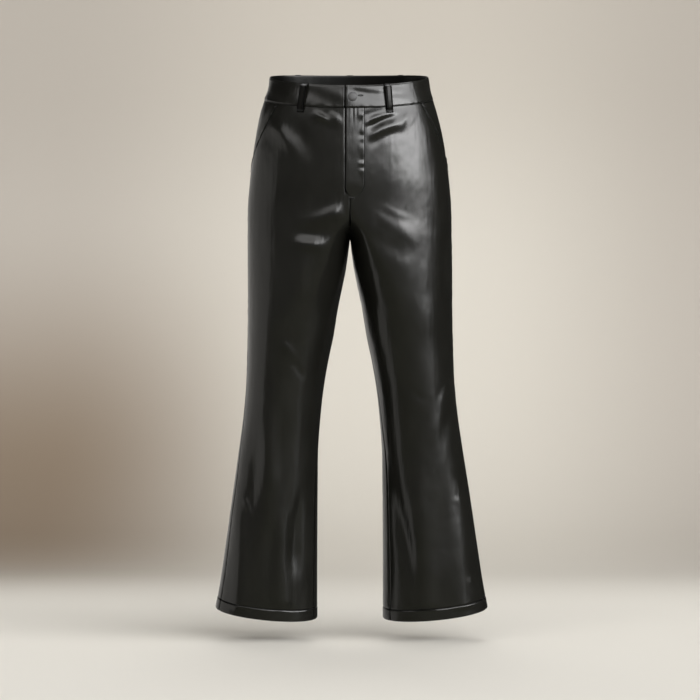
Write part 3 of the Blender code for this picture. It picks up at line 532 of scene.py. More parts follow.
class Nodes:
    """The nodes of a material or of the world. add() makes any of them."""

    def __init__(self, tree):
        self.tree = tree

    def put(self, socket, value):
        if isinstance(value, Wire):
            self.tree.links.new(value.socket, socket)
        else:
            socket.default_value = value

    def add(self, kind, settings=None, sockets=None, output=0):
        """A node of a type, with its settings and then the values or links of its sockets."""
        made = self.tree.nodes.new(kind)
        for name, value in (settings or {}).items():
            setattr(made, name, value)
        for name, value in (sockets or {}).items():
            self.put(made.inputs[name], value)
        return Wire(self, made.outputs[output])

    def apart(self, vector):
        """The x, y and z of a vector."""
        split = self.add("ShaderNodeSeparateXYZ", {}, {0: vector})
        return [Wire(self, output) for output in split.socket.node.outputs]

    def place(self, stretch=(1.0, 1.0, 1.0)):
        """The place on the piece, in metres, stretched."""
        where = self.add("ShaderNodeTexCoord", output="Object")
        return self.add("ShaderNodeVectorMath", {"operation": "MULTIPLY"}, {0: where, 1: stretch})

    def noise(self, scale, detail=2.0, roughness=0.5, stretch=(1.0, 1.0, 1.0)):
        sockets = {"Scale": scale, "Detail": detail, "Roughness": roughness, "Vector": self.place(stretch)}
        return self.add("ShaderNodeTexNoise", {}, sockets)

    def cells(self, scale):
        sockets = {"Scale": scale, "Vector": self.place()}
        return self.add("ShaderNodeTexVoronoi", {"feature": "SMOOTH_F1"}, sockets)

    def blend(self, factor, one, other):
        """A colour between two, by a factor."""
        one, other = (value if isinstance(value, Wire) else (*value, 1.0) for value in (one, other))
        sockets = {"Factor": factor, 6: one, 7: other}
        return self.add("ShaderNodeMix", {"data_type": "RGBA"}, sockets, output=2)

    def raise_by(self, height, distance, over=None):
        """A bump, over another one where given."""
        sockets = {"Height": height, "Distance": distance, "Strength": 1.0}
        if over is not None:
            sockets["Normal"] = over
        return self.add("ShaderNodeBump", {}, sockets)


class Finish(Nodes):
    """A material being made, from its Principled shader's own values."""

    def __init__(self, name, **values):
        self.material = bpy.data.materials.new(name)
        self.material.use_nodes = True
        super().__init__(self.material.node_tree)
        self.shader = self.tree.nodes["Principled BSDF"]
        for socket, value in values.items():
            self.shader.inputs[socket.replace("_", " ")].default_value = value

    def set(self, socket, value):
        self.put(self.shader.inputs[socket], value)


def coated_finish(look):
    """Polyurethane coating on cloth: satin black, with a fine pebbled grain and the cloth's faint lines."""
    made = Finish("coated_cloth", Roughness=look.roughness)
    pebbles = made.cells(1 / look.grain)
    patches = made.noise(9.0, detail=3.0)
    lines = made.noise(120.0, detail=3.0, stretch=(1.0, 1.0, 0.10))
    worn = made.noise(38.0, detail=4.0, stretch=(1.0, 1.0, 0.5))
    colour = tuple(look.coating)
    lighter = tuple(1.5 * part + 0.002 for part in colour)
    # Painted shade: where the mesh's painted shade attribute is high, the coating is painted darker and made a
    # black metal that mirrors almost nothing, as a shaded crevice would.
    dull = made.add("ShaderNodeAttribute", {"attribute_name": "dull"}, output="Fac").between(0.0, 1.0)
    bare = made.blend(patches * worn * 2.0, colour, lighter)
    made.set("Base Color", made.blend(dull, bare, tuple(0.3 * part for part in colour)))
    made.set("Metallic", dull * look.crevice)  # a black metal mirrors next to nothing, like a deep crevice
    made.set("Roughness", look.roughness - 0.04 + 0.05 * worn + 0.04 * patches + 0.15 * dull)
    soft = made.raise_by(made.noise(26.0, detail=2.0, stretch=(1.0, 1.0, 0.6)), look.wobble)
    drawn = made.raise_by(lines, look.lines, over=soft)
    made.set("Normal", made.raise_by(pebbles, look.pebble, over=drawn))
    return made.material


def backing_finish():
    """The knitted back of the coated cloth."""
    made = Finish("cloth_back", Roughness=0.92)
    sockets = {"Vector": made.place(), "Scale": 900.0, "Distortion": 2.0}
    loops = made.add("ShaderNodeTexWave", {"wave_type": "BANDS"}, sockets)
    made.set("Base Color", made.blend(loops, (0.014, 0.013, 0.013), (0.030, 0.029, 0.028)))
    made.set("Normal", made.raise_by(loops, 0.0002))
    return made.material


def woven_finish(name, dark, light, threads=1400.0):
    """A plain weave of a number of threads for each metre."""
    made = Finish(name, Roughness=0.88)
    x, y, z = made.apart(made.place())
    turns = threads * math.pi
    weave = ((x + y) * turns).sine() * (z * turns).sine() * 0.5 + 0.5
    cloudy = made.noise(60.0, detail=3.0)
    made.set("Base Color", made.blend(weave * 0.6 + cloudy * 0.4, dark, light))
    made.set("Normal", made.raise_by(weave, 0.00015))
    return made.material


def thread_finish():
    made = Finish("thread", Roughness=0.6)
    twist = made.noise(2600.0, detail=1.0, stretch=(1.0, 1.0, 0.4))
    made.set("Base Color", made.blend(twist, (0.003, 0.003, 0.003), (0.010, 0.010, 0.009)))
    made.set("Normal", made.raise_by(twist, 0.0001))
    return made.material


def lacquer_finish(name, colour):
    """Dark lacquer on metal, faintly mottled."""
    made = Finish(name, Metallic=0.50, Roughness=0.55)
    mottle = made.noise(700.0, detail=3.0)
    darker, lighter = (tuple(share * part for part in colour) for share in (0.8, 1.25))
    made.set("Base Color", made.blend(mottle, darker, lighter))
    made.set("Roughness", 0.50 + 0.14 * mottle)
    made.set("Normal", made.raise_by(mottle, 0.00002))
    return made.material


FINISHES = {}


def finish_of(slot):
    """The material of one of the record's slots, made once."""
    if slot not in FINISHES:
        look = bpy.context.scene.trousers_cloth
        makers = {
            "coated_cloth": lambda: coated_finish(look),
            "cloth_back": backing_finish,
            "pocketing": lambda: woven_finish("pocketing", (0.011, 0.011, 0.012), (0.023, 0.023, 0.024)),
            "zip_cloth": lambda: woven_finish("zip_cloth", (0.008, 0.008, 0.009), (0.018, 0.018, 0.019)),
            "thread": thread_finish,
            "button_metal": lambda: lacquer_finish("button_metal", tuple(look.button)),
            "zip_metal": lambda: lacquer_finish("zip_metal", tuple(look.button)),
        }
        FINISHES[slot] = makers[slot]()
    return FINISHES[slot]


# ---------------------------------------------------------------- meshes


def add_piece(name, mesh, slots, node=None, sharp=40):
    """An object of the trousers, in place of a node where one is given. Its first slot is its main one."""
    made = bpy.data.objects.new(name, mesh)
    for slot in slots:
        made.data.materials.append(finish_of(slot))
    made.data.shade_smooth()
    made.data.set_sharp_from_angle(angle=math.radians(sharp))
    bpy.context.scene.collection.objects.link(made)
    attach(made, "root")
    if node:
        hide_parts(node)
    return made


def wall(name, outer, inner, slots, node, dull=None, inner_painted_shade=None):
    """A closed wall between two grids of points, rows by columns. Its inner side has the last slot's finish.

    Its two last arguments paint shade: the first says, from 0 to 1, how far each point of the outer side is
    painted darker and kept from mirroring, as in a shaded crevice, and the second is the same for the whole
    inner side, where it differs.
    """
    rows, columns = outer.shape[:2]
    points = np.concatenate([outer.reshape(-1, 3), inner.reshape(-1, 3)])
    number = np.arange(rows * columns).reshape(rows, columns)
    corners = [number[:-1, :-1], number[:-1, 1:], number[1:, 1:], number[1:, :-1]]
    quads = np.stack(corners, axis=-1).reshape(-1, 4)
    edge = np.concatenate([number[0, :], number[1:, -1], number[-1, -2::-1], number[-2:0:-1, 0]])
    after = np.roll(edge, -1)
    inside = rows * columns
    rim = np.stack([edge, after, after + inside, edge + inside], axis=-1)
    faces = np.concatenate([quads, quads[:, ::-1] + inside, rim[:, ::-1]])
    mesh = bpy.data.meshes.new(name)
    mesh.from_pydata(points.tolist(), [], faces.tolist())
    finish = np.zeros(len(faces), np.int32)
    finish[len(quads) : 2 * len(quads)] = len(slots) - 1
    mesh.polygons.foreach_set("material_index", finish)
    # the painted shade is kept on the mesh, for the coating to darken
    if dull is not None:
        painted_shade_values = np.tile(np.clip(dull, 0.0, 1.0).reshape(-1), 2)
        if inner_painted_shade is not None:
            painted_shade_values[inside:] = inner_painted_shade
        mesh.attributes.new("dull", "FLOAT", "POINT").data.foreach_set("value", painted_shade_values)
    shell = bmesh.new()
    shell.from_mesh(mesh)
    if shell.calc_volume(signed=True) < 0:
        bmesh.ops.reverse_faces(shell, faces=shell.faces)
    shell.to_mesh(mesh)
    shell.free()
    return add_piece(name, mesh, slots, node)


LEAST_CUT = 0.31  # of the rectangle round it


def cut_size(outer):
    """Width, length and area of a cloth piece when flat, from the grid of points of its outer side."""
    wide = np.linalg.norm(np.diff(outer, axis=1), axis=-1).sum(axis=1)
    long = np.linalg.norm(np.diff(outer, axis=0), axis=-1).sum(axis=0)
    a, b, c, d = outer[:-1, :-1], outer[:-1, 1:], outer[1:, 1:], outer[1:, :-1]
    area = np.linalg.norm(np.cross(c - a, d - b), axis=-1).sum() / 2
    size = (float(wide.max()), float(long.max()))
    return size, cut_area(area, size)


def cut_area(area, size):
    """An area, held to what a cut of a size can have."""
    return float(np.clip(area, LEAST_CUT * size[0] * size[1], size[0] * size[1]))


def tube_along(centre, normal, radius, sides):
    """Points and faces of closed tubes, one for each row of centre points. normal is a way across them."""
    count, rings = centre.shape[:2]
    run = np.gradient(centre, axis=1)
    run /= np.linalg.norm(run, axis=-1, keepdims=True)
    up = normal - run * (normal * run).sum(-1, keepdims=True)
    up /= np.linalg.norm(up, axis=-1, keepdims=True)
    wide = np.cross(run, up)
    turn = np.arange(sides) * 2 * math.pi / sides
    ring = up[:, :, None] * np.cos(turn)[:, None] + wide[:, :, None] * np.sin(turn)[:, None]
    points = centre[:, :, None] + ring * np.broadcast_to(radius, centre.shape[:2])[:, :, None, None]
    first = (np.arange(count) * rings * sides)[:, None, None]
    i = np.arange(rings - 1)[None, :, None] * sides
    j = np.arange(sides)[None, None, :]
    k = (j + 1) % sides
    quads = np.stack([first + i + j, first + i + k, first + i + sides + k, first + i + sides + j], axis=-1)
    faces = quads.reshape(-1, 4).tolist()
    low = first[:, 0] + np.arange(sides)[None, ::-1]
    high = first[:, 0] + (rings - 1) * sides + np.arange(sides)[None, :]
    faces += low.tolist() + high.tolist()
    return points.reshape(-1, 3).tolist(), faces


STITCH_ALONG = np.array([0.07, 0.22, 0.50, 0.78, 0.93])  # where a stitch's five points lie along it
STITCH_LIFT = np.array([-1.2, -0.20, 0.20, -0.20, -1.2])  # and how far out, in half threads
TACK_LONG = 0.0022
TACK_ASIDE = np.array([-1.0, -0.6, 0.0, 0.6, 1.0])
TACK_LIFT = np.array([-0.8, 0.6, 0.9, 0.6, -0.8])
LIFT_STEP = 0.001  # a way out of the cloth is measured over this lift


def stitch_run(place, *where):
    """Centre points of the stitches along a line, five for each, and the ways out of the cloth.

    place gives the line's points at the other arguments, of which the last is the lift.
    """
    sew = bpy.context.scene.trousers_sewing
    points = place(*where)
    out = place(*where[:-1], where[-1] + LIFT_STEP) - points
    normals = out / np.linalg.norm(out, axis=-1, keepdims=True)
    steps = np.linalg.norm(np.diff(points, axis=0), axis=-1)
    run = np.concatenate([[0.0], np.cumsum(steps)])
    count = max(1, int(run[-1] / sew.pitch))
    at = (np.arange(count)[:, None] + STITCH_ALONG) * run[-1] / count
    centre, normal = (
        np.stack([np.interp(at, run, line[:, axis]) for axis in range(3)], axis=-1)
        for line in (points, normals)
    )
    return centre + normal * (STITCH_LIFT * sew.thread / 2)[:, None], normal


def tack_run(place, run, length):
    """A bartack: close crosswise stitches. place gives points at distances along and across, and a lift."""
    thread = bpy.context.scene.trousers_sewing.thread
    along, aside = np.meshgrid(np.arange(0.0, run, 0.9 * thread), TACK_ASIDE * length / 2, indexing="ij")
    along = along + 0.4 * thread * np.sign(aside)
    lift = TACK_LIFT * thread / 2 + np.zeros(along.shape)
    centre = place(along, aside, lift)
    return centre, place(along, aside, lift + LIFT_STEP) - centre


def sewn_piece(name, runs):
    """The stitches of some runs, joined in one mesh of short bowed tubes of thread."""
    centre = np.concatenate([run[0] for run in runs])
    normal = np.concatenate([run[1] for run in runs])
    radius = bpy.context.scene.trousers_sewing.thread / 2
    points, faces = tube_along(centre, normal, radius, 6)
    mesh = bpy.data.meshes.new(name)
    mesh.from_pydata(points, [], faces)
    return add_piece(name, mesh, ["thread"], sharp=60)


def closer_at_ends(count, pull):
    """Shares from 0 to 1 that lie closer together at both ends."""
    even = np.linspace(0.0, 1.0, count)
    return even - pull * np.sin(2 * math.pi * even) / (2 * math.pi)


def dress(node, slot):
    """Give a solid that is shown as it is the finish of a slot."""
    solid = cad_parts[node]
    solid.data.materials.clear()
    solid.data.materials.append(finish_of(slot))
    return solid


# ---------------------------------------------------------------- legs


def settled(height, angle):
    """The height of a point of a row: the lowest rows follow the hem, the highest ones the waist seam."""
    front = np.sin(angle)
    hem = -HEM_TILT * np.cos(angle) - HEM_DIP * np.abs(front)
    top = waist_seam(angle) - HALF_GAP - (SIDE_TOP - BAND_HEIGHT)
    near_hem = 1 - ease((height - HEM_HEIGHT) / HEM_FADE)
    near_top = 1 - ease((SIDE_TOP - BAND_HEIGHT - height) / TILT_FADE)
    return height + hem * near_hem + top * near_top


def settle(height, angle_of):
    """Angles and heights of a row's points: the angle depends on the height and the height on the angle."""
    z = height
    for _ in range(4):
        angle = angle_of(z)
        z = settled(height, angle)
    return angle, z


def side_angle(side, z):
    return np.radians(SEAM["out_" + WORD[side]](z))


def inner_angle(side, face, z):
    """The inner edge of a panel: the inseam on the leg, and above it the middle seam."""
    inseam = np.radians(SEAM["in_" + WORD[side]](z))
    inseam = inseam + face * HALF_GAP / reach(side, inseam, z)
    return np.where(z < CROTCH, inseam, face * angle_at(side, -MIDDLE_LAP, z))


def spread(inner, outer, share):
    """Angles from a panel's inner edge to its outer one. Columns away from the inner edge stay upright."""
    power = np.clip(0.8 * np.abs(outer) / np.maximum(np.abs(inner), 0.01) - 1.0, 1.0, 6.0)
    return outer * share + inner * (1 - share) ** power


def slot_shift(side, z, share):
    """Angle by which the front's first columns move from the middle, to make room for the zip."""
    wanted = FLY_SLOT[1] if side == LEFT else -FLY_SLOT[0]
    shift = angle_at(side, wanted, z) - angle_at(side, -MIDDLE_LAP, z)
    return np.where(z > FLY_SLOT_END - 0.0005, shift, 0.0) * np.clip(1 - share * 14 / 3, 0.0, 1.0)


def slant_angle(side, z):
    """The edge of the front where the pocket opens, from the waist seam down to the side seam."""
    top = SIDE_TOP - BAND_HEIGHT - 0.010
    down = np.clip((top - z) / (top - POCKET_END), 0.0, 1.0)
    start = angle_at(side, POCKET_TOP_X, np.asarray(top))
    return start + (side_angle(side, z) - start) * down**1.15


def outer_edge(side, face, z):
    if face == BACK:
        edge = side_angle(side, z) - 2 * math.pi
        return edge + HALF_GAP / reach(side, edge, z)
    edge = np.where(z > POCKET_END, slant_angle(side, z), side_angle(side, z))
    return edge - HALF_GAP / reach(side, edge, z)


def panel_angle(side, face, z, share):
    """The angle of a panel's columns, at shares of the way from its inner edge to its outer one."""
    angle = spread(inner_angle(side, face, z), outer_edge(side, face, z), share)
    return angle + slot_shift(side, z, share) if face == FRONT else angle


def panel_heights():
    """Heights of a leg panel's rows: closest together at the hem's edge, its stitching and the crotch."""
    hem = HEM_HEIGHT + np.array([0.0, 0.0004, 0.0012, 0.003, 0.006, 0.0095, 0.013])
    sewn = HEM_HEIGHT + HEM_TURN + np.arange(-0.005, 0.0051, 0.0010)
    leg = np.linspace(HEM_HEIGHT + HEM_TURN + 0.008, CROTCH - 0.020, 168)
    crotch = np.linspace(CROTCH - 0.0175, CROTCH - 0.0003, 8)
    rise = CROTCH + 0.060 * np.linspace(0.06, 1.0, 26) ** 1.5
    slot = np.linspace(rise[-1] + 0.0032, FLY_SLOT_END - 0.001, 11)
    hips = np.linspace(FLY_SLOT_END, SIDE_TOP - BAND_HEIGHT, 52)
    return np.concatenate([hem, sewn, leg, crotch, rise, slot, hips])


def seam_relief(side, face, angle, z, height):
    """How the sewing moves the cloth beside the seams, the pocket's edge and the hem, and where shade is
    painted into its grooves.
    """
    sew = bpy.context.scene.trousers_sewing
    inner = inner_angle(side, face, z)
    outer = outer_edge(side, face, z)
    from_inner = np.abs(angle - inner) * reach(side, angle, z)
    from_outer = np.abs(angle - outer) * reach(side, angle, z)
    x = across(side, angle, z)
    seed = side + 0.5 * face
    facing = np.where(z > CROTCH - 0.004, np.abs(np.sin(angle)), 1.0)  # the seam closes between the legs
    relief = -sew.groove * (bump(from_inner, SEAM_WIDE) * facing + bump(from_outer, SEAM_WIDE))
    relief = relief + sew.gather * gathers(z, 0.0042, seed) * bump(from_outer - GATHER_FROM, GATHER_WIDE)
    fewer = 0.7 * sew.gather * gathers(z, 0.0051, seed + 2)
    relief = relief + fewer * bump(from_inner - GATHER_FROM, GATHER_WIDE)
    # Painted shade in the seams' grooves, along the pocket's stitched line, beside the flap's edge and in the
    # hem's stitched groove
    dull = bump(from_inner, 0.0016) + 0.8 * bump(from_outer, 0.0014)
    if face == FRONT:
        pocket = ease((z - POCKET_END - 0.004) / 0.012)
        folded = ease((POCKET_SEWN + 0.0012 - from_outer) / 0.0035)
        sewn = bump(from_outer - POCKET_SEWN, 0.0010)
        edge = folded * 0.0009 * (1 + 0.6 * gathers(z, 0.0024, seed + 5)) - 0.0007 * sewn
        relief = relief + pocket * (edge + (sew.groove - 0.0006) * bump(from_outer, 0.0022))
        dull = dull + pocket * 0.9 * sewn
    if face == FRONT and side == RIGHT:
        under_flap = ease((z - FLY_END - 0.004) / 0.012)
        relief = relief - under_flap * 0.0012 * bump(x + LAP_EDGE - 0.0010, 0.0012)
        dull = dull + under_flap * ease((0.0030 - x - LAP_EDGE) / 0.0012)
    above = height - HEM_HEIGHT
    hem = HEM_PROUD * ease((HEM_TURN - above) / 0.0025) - HEM_GROOVE * bump(above - HEM_TURN, 0.0012)
    hem = hem + 0.6 * sew.gather * gathers(x, 0.0052, seed) * bump(above - HEM_TURN, GATHER_WIDE)
    return relief + hem - 0.0009 * bump(above, 0.0009), dull + 0.9 * bump(above - HEM_TURN, 0.0012)


def leg_panel(side, face, columns=100):
    """A front or a back, from the hem to the waist seam."""
    look = bpy.context.scene.trousers_cloth
    heights = panel_heights()
    share = closer_at_ends(columns, 0.62)
    height = np.repeat(heights[:, None], columns, axis=1)
    angle, z = settle(height, lambda z: panel_angle(side, face, z, share))
    thick = np.where(height < HEM_HEIGHT + HEM_TURN, HEM_CLOTH, look.thickness)
    relief, dull = seam_relief(side, face, angle, z, height)
    here, normal = cloth_and_normal(side, angle, z)
    outer = here + normal * relief[..., None]
    inner = here - normal * (thick - np.minimum(relief, 0.0) * 0.5)[..., None]
    part = "front" if face == FRONT else "back"
    slots, node = ["coated_cloth", "cloth_back"], f"{part}_{WORD[side]}"
    made = wall(f"{part}_panel_{WORD[side]}", outer, inner, slots, node, dull)
    size, area = cut_size(outer)
    return made


def hem_stitches(side):
    """The row that holds the turned-up hem, all the way round."""
    share = np.linspace(0.01, 0.99, 400)
    height = np.full(len(share), HEM_HEIGHT + HEM_TURN)
    runs = []
    for face in (FRONT, BACK):
        angle, z = settle(height, lambda z: panel_angle(side, face, z, share))
        runs.append(stitch_run(cloth, side, angle, z, np.full(len(share), -0.0003)))
    sewn_piece(f"hem_stitches_{WORD[side]}", runs)


class TROUSERS_OT_legs(bpy.types.Operator):
    """Add the fronts and the backs"""

    bl_idname = "trousers.legs"
    bl_label = "Fronts and Backs"

    def execute(self, context):
        for side in (RIGHT, LEFT):
            for face in (FRONT, BACK):
                leg_panel(side, face)
            hem_stitches(side)
        return {"FINISHED"}


# ---------------------------------------------------------------- waistband


def band(turn, share, lift):
    """A point of the waistband, at a signed angle from the middle front and a share of its height."""
    angle = math.pi / 2 + np.abs(turn)
    angle = np.where(angle > math.pi, angle - 2 * math.pi, angle)
    z = waist_seam(angle) + HALF_GAP + share * (BAND_HEIGHT - HALF_GAP)
    lift = np.broadcast_to(lift, z.shape)
    point = np.empty(z.shape + (3,))
    for side in (RIGHT, LEFT):
        here = (turn < 0) == (side == RIGHT)
        point[here] = cloth(side, angle[here], z[here], lift[here])
    return point


def turn_of(x):
    """The waistband's signed angles at signed distances from the middle front."""
    right, left = (BODY[WORD[side]](BAND_MIDDLE_HEIGHT) for side in (RIGHT, LEFT))
    return np.arcsin(x / np.where(x < 0, right, left))


def turn_at(x):
    return float(turn_of(np.asarray(x)))


def band_relief(turn, share):
    """Waves of the waistband's outer side, its rounded edges and the stitched lines beside them."""
    run = turn * BAND_RADIUS
    up = share * BAND_HEIGHT
    down = (1 - share) * BAND_HEIGHT
    wave = BAND_WAVE * np.sin(run / 0.021 + 5.0 * share + 1.4 * np.sin(run / 0.047)) * np.sin(math.pi * share)
    wave = wave + 0.00030 * gathers(run, 0.0036, 3.0) * bump(up - 0.003, 0.0032)
    # a long shallow crease over the left half, from the lap past the belt loop
    crease = bump(up - 0.033 + 0.012 * np.sin(1.9 * turn), 0.0050)
    wave = wave - BAND_CREASE * crease * ease((turn + 0.02) / 0.15) * ease((1.0 - turn) / 0.4)
    edges = -0.0009 * (bump(up, 0.0012) + bump(down, 0.0012))
    sewn = -0.0005 * (bump(up - BAND_SEWN, 0.0007) + bump(down - BAND_SEWN, 0.0007))
    return wave + edges + sewn


def lap_proud(turn):
    """How far the left half stands off the cloth: it lies on the right half and slopes away from its edge."""
    past = (turn - turn_at(LAP_EDGE)) / LAP_SLOPE
    return BAND_PROUD + np.where(past > -0.01, LAP_RISE * (1 - np.clip(past, 0.0, 1.0)) ** 2, 0.0)


def waistband(name, turns, lifts, node):
    """One half of the waistband, through columns at signed angles with their own lifts."""
    rows = closer_at_ends(26, 0.70)
    turn, share = np.meshgrid(turns, rows)
    relief = band_relief(turn, share)
    share = share - 0.03 * bump((math.pi - np.abs(turn)) * 0.15, 0.0022) * ease((share - 0.85) / 0.15)
    outer = band(turn, share, lifts + relief)
    rounded = 0.0007 * bump(share, 0.03) + 0.0007 * bump(1 - share, 0.03)
    inner = band(turn, share, lifts - BAND_CLOTH + rounded)
    # Painted shade along the lower edge and its stitched line, where the right half lies behind the lap, and
    # over the whole inside
    crevice = bump(share * BAND_HEIGHT, 0.0009) + 0.6 * bump(share * BAND_HEIGHT - BAND_SEWN, 0.0006)
    dull = crevice + np.broadcast_to(ease((BAND_PROUD - lifts) / 0.0004), crevice.shape)
    made = wall(name, outer, inner, ["coated_cloth"], node, dull, inner_painted_shade=0.55)
    size, area = cut_size(outer)
    return made


def waistband_stitches(lap, back):
    """A row beside each long edge of both halves, and one down the lap's edge."""
    lines = [(np.full(60, lap + 0.013), np.linspace(0.06, 0.94, 60))]
    for share in (1 - BAND_SEWN / BAND_HEIGHT, BAND_SEWN / BAND_HEIGHT):
        for first, last in ((-0.085, 0.01 - back), (lap + 0.012, back - 0.01)):
            lines.insert(0, (np.linspace(first, last, 500), np.full(500, share)))
    runs = [stitch_run(band, *line, lap_proud(line[0]) + band_relief(*line)) for line in lines]
    sewn_piece("waistband_stitches", runs)


class TROUSERS_OT_waistband(bpy.types.Operator):
    """Add the two halves of the waistband"""

    bl_idname = "trousers.waistband"
    bl_label = "Waistband"

    def execute(self, context):
        back = math.pi - HALF_GAP / BODY["left"](0.0)
        lap = turn_at(LAP_EDGE)
        turns = np.concatenate([lap + np.array([0.0, 0.002, 0.006]), np.linspace(lap + 0.012, back, 260)])
        rolled = 0.0007 * bump(turns - lap, 0.006)
        waistband("waistband_lap_half", turns, lap_proud(turns) - rolled, "waistband_left")
        # the right half dips behind the left one, close to its edge
        dips = np.concatenate([np.linspace(UNDERLAP_END, -0.0086, 24), np.linspace(-0.0088, -0.0116, 12)])
        behind = (BAND_CLOTH + LAYER_GAP + 0.0002) * (1 - ease((-0.0089 - dips) / 0.0024))
        turns = np.concatenate([[turn_at(x) for x in dips], np.linspace(-0.090, -back, 240)])
        lifts = BAND_PROUD - np.concatenate([behind, np.zeros(240)])
        waistband("waistband_under_half", turns, lifts, "waistband_right")
        waistband_stitches(lap, back)
        return {"FINISHED"}


# ---------------------------------------------------------------- belt loops

Loop = namedtuple("Loop", "name half foot head")
# The half of the waistband that carries each loop, and the signed angle of its lower and upper end from the
# middle front, in degrees
LOOPS = (
    Loop("front_right", "right", -32.4, -31.9),
    Loop("front_left", "left", 26.2, 26.6),
    Loop("back_right", "right", -140.0, -139.0),
    Loop("back_left", "left", 140.0, 139.0),
    Loop("back_middle", "left", 180.0, 180.0),
)


def loop_point(loop, share, off, lift):
    """A point of a belt loop: a share of the waistband's height, a distance off its middle and a lift."""
    rest = LAYER_GAP + BAND_PROUD * ease((share + 0.20) / 0.20)
    free = np.clip((share + 0.16) / 1.0, 0.0, 1.0) ** 0.7 * ease((0.99 - share) / 0.16)
    middle = np.radians(loop.foot + (loop.head - loop.foot) * np.clip(share, 0, 1))
    wide, deep = BODY["left"](0.0), BODY["front"](0.0)
    turn = middle + off / np.hypot(wide * np.cos(middle), deep * np.sin(middle))
    turn = (turn + math.pi) % (2 * math.pi) - math.pi
    return band(turn, share, rest + free * LOOP_LEAN + lift)


def belt_loop(loop):
    """A folded strip with a stitched line beside each edge, sewn down at both ends."""
    shares = np.linspace(-LOOP_BELOW / BAND_HEIGHT, LOOP_TOP, 60)
    offs = np.linspace(-1.0, 1.0, 17) * LOOP_WIDE / 2
    share, off = np.meshgrid(shares, offs, indexing="ij")
    from_edge = LOOP_WIDE / 2 - np.abs(off)
    relief = 0.0002 * bump(from_edge - 0.0011, 0.0007) - 0.0005 * bump(from_edge - LOOP_SEWN, 0.0006)
    relief = relief - 0.0006 * bump(from_edge, 0.0005)
    gathered = gathers(share * BAND_HEIGHT, 0.0011, loop.foot)
    relief = relief + 0.00012 * gathered * bump(from_edge - 0.002, 0.0016)
    ends = -0.0008 * bump(share + LOOP_BELOW / BAND_HEIGHT, 0.012) - 0.0006 * bump(share - LOOP_TOP, 0.012)
    outer = loop_point(loop, share, off, LOOP_CLOTH + relief + ends)
    inner = loop_point(loop, share, off, 0.0003 * bump(from_edge, 0.0005))
    # Painted shade over the whole loop, deepest at its edges and stitched lines
    dull = 0.45 + bump(from_edge, 0.0008) + bump(from_edge - LOOP_SEWN, 0.0007)
    slots, node = ["coated_cloth"], f"belt_loop_{loop.name}"
    made = wall(f"belt_loop_cloth_{loop.name}", outer, inner, slots, node, dull)
    size, area = cut_size(outer)
    return made


def loop_tack(loop, share):
    """Where a bartack across a belt loop goes."""

    def place(along, aside, lift):
        off = along + 0.0007 - LOOP_WIDE / 2
        return loop_point(loop, share + aside / BAND_HEIGHT, off, LOOP_CLOTH + lift)

    return place


class TROUSERS_OT_belt_loops(bpy.types.Operator):
    """Add the five belt loops"""

    bl_idname = "trousers.belt_loops"
    bl_label = "Belt Loops"

    def execute(self, context):
        shares = np.linspace(-0.21, 1.0, 120)
        lift = np.full(len(shares), LOOP_CLOTH - 0.0004)
        for loop in LOOPS:
            belt_loop(loop)
            runs = []
            for off in (LOOP_SEWN - LOOP_WIDE / 2, LOOP_WIDE / 2 - LOOP_SEWN):
                runs.append(stitch_run(loop_point, loop, shares, np.full(len(shares), off), lift))
            for share in LOOP_TACKS:
                runs.append(tack_run(loop_tack(loop, share), LOOP_WIDE - 0.0014, TACK_LONG))
            sewn_piece(f"belt_loop_stitches_{loop.name}", runs)
        return {"FINISHED"}


# ---------------------------------------------------------------- fly


def flap_edges(z):
    """The x of the fly flap's free edge and of its stitched edge, which curves in at its lower end."""
    down = np.clip((FLY_STRAIGHT - z) / (FLY_STRAIGHT - FLY_END), 0.0, 0.985)
    free = LAP_EDGE * ease((z - FLY_END) / 0.018) - 0.0002
    return free, FLY_CURVE + (FLY_WIDE - FLY_CURVE) * np.sqrt(1 - down**2)


def fly_flap():
    """The stitched flap over the zip. It runs out smoothly into the front at its stitched edge."""
    heights = np.concatenate([
        FLY_STRAIGHT - (FLY_STRAIGHT - FLY_END) * np.sin(np.radians(np.linspace(80.0, 0.0, 26))),
        np.linspace(FLY_STRAIGHT + 0.0016, FLY_TOP, 86),
    ])
    share = closer_at_ends(44, 0.6)
    free, sewn = flap_edges(heights)
    x = free[:, None] + (sewn - free)[:, None] * share[None, :]
    z = np.repeat(heights[:, None], len(share), axis=1)
    top = waist_seam(angle_at(LEFT, np.abs(x), z)) - HALF_GAP - 0.0002
    z = z + (top - heights[-1]) * ease((z + 0.075) / 0.0236)
    from_free = x - free[:, None]
    from_sewn = sewn[:, None] - x
    low = ease((z - FLY_END) / 0.030)
    puckers = gathers(z, 0.0034, 1.0) * bump(from_sewn - 0.006, 0.005) * 0.0005
    puckers = puckers + gathers(z, 0.0075, 2.0) * bump(from_sewn - 0.009, 0.007) * 0.0005
    upright = gathers(x, 0.0016, 4.0) * ease((z + 0.090) / 0.030) * bump(x - 0.006, 0.010) * 0.0004
    slope = (FLAP_EDGE - FLAP_INNER) * np.clip(from_free / FLY_WIDE, 0.0, 1.0)
    full = FLAP_EDGE - slope + puckers + upright - 0.0014 * bump(from_free, 0.0009)
    full = full - FLAP_GROOVE * bump(from_sewn - FLAP_SEWN, 0.0008)
    edge = ease((from_sewn + 0.001) / 0.0060)
    outer = front_cloth(x, z, -0.0001 + (full + 0.0001) * edge * (0.20 + 0.80 * low))
    inner = front_cloth(x, z, np.minimum(0.0003, -0.0002 + 0.0006 * edge))
    # Painted shade along the stitched line and the free edge, fainter at its lower end
    dull = bump(from_sewn - FLAP_SEWN, 0.0009) + 0.7 * ease((0.0010 - from_sewn) / 0.0010)
    dull = dull * (0.35 + 0.65 * low) + bump(from_free, 0.0005)
    made = wall("fly_flap_cloth", outer, inner, ["coated_cloth"], "fly_flap", dull)
    size, area = cut_size(outer)
    return made


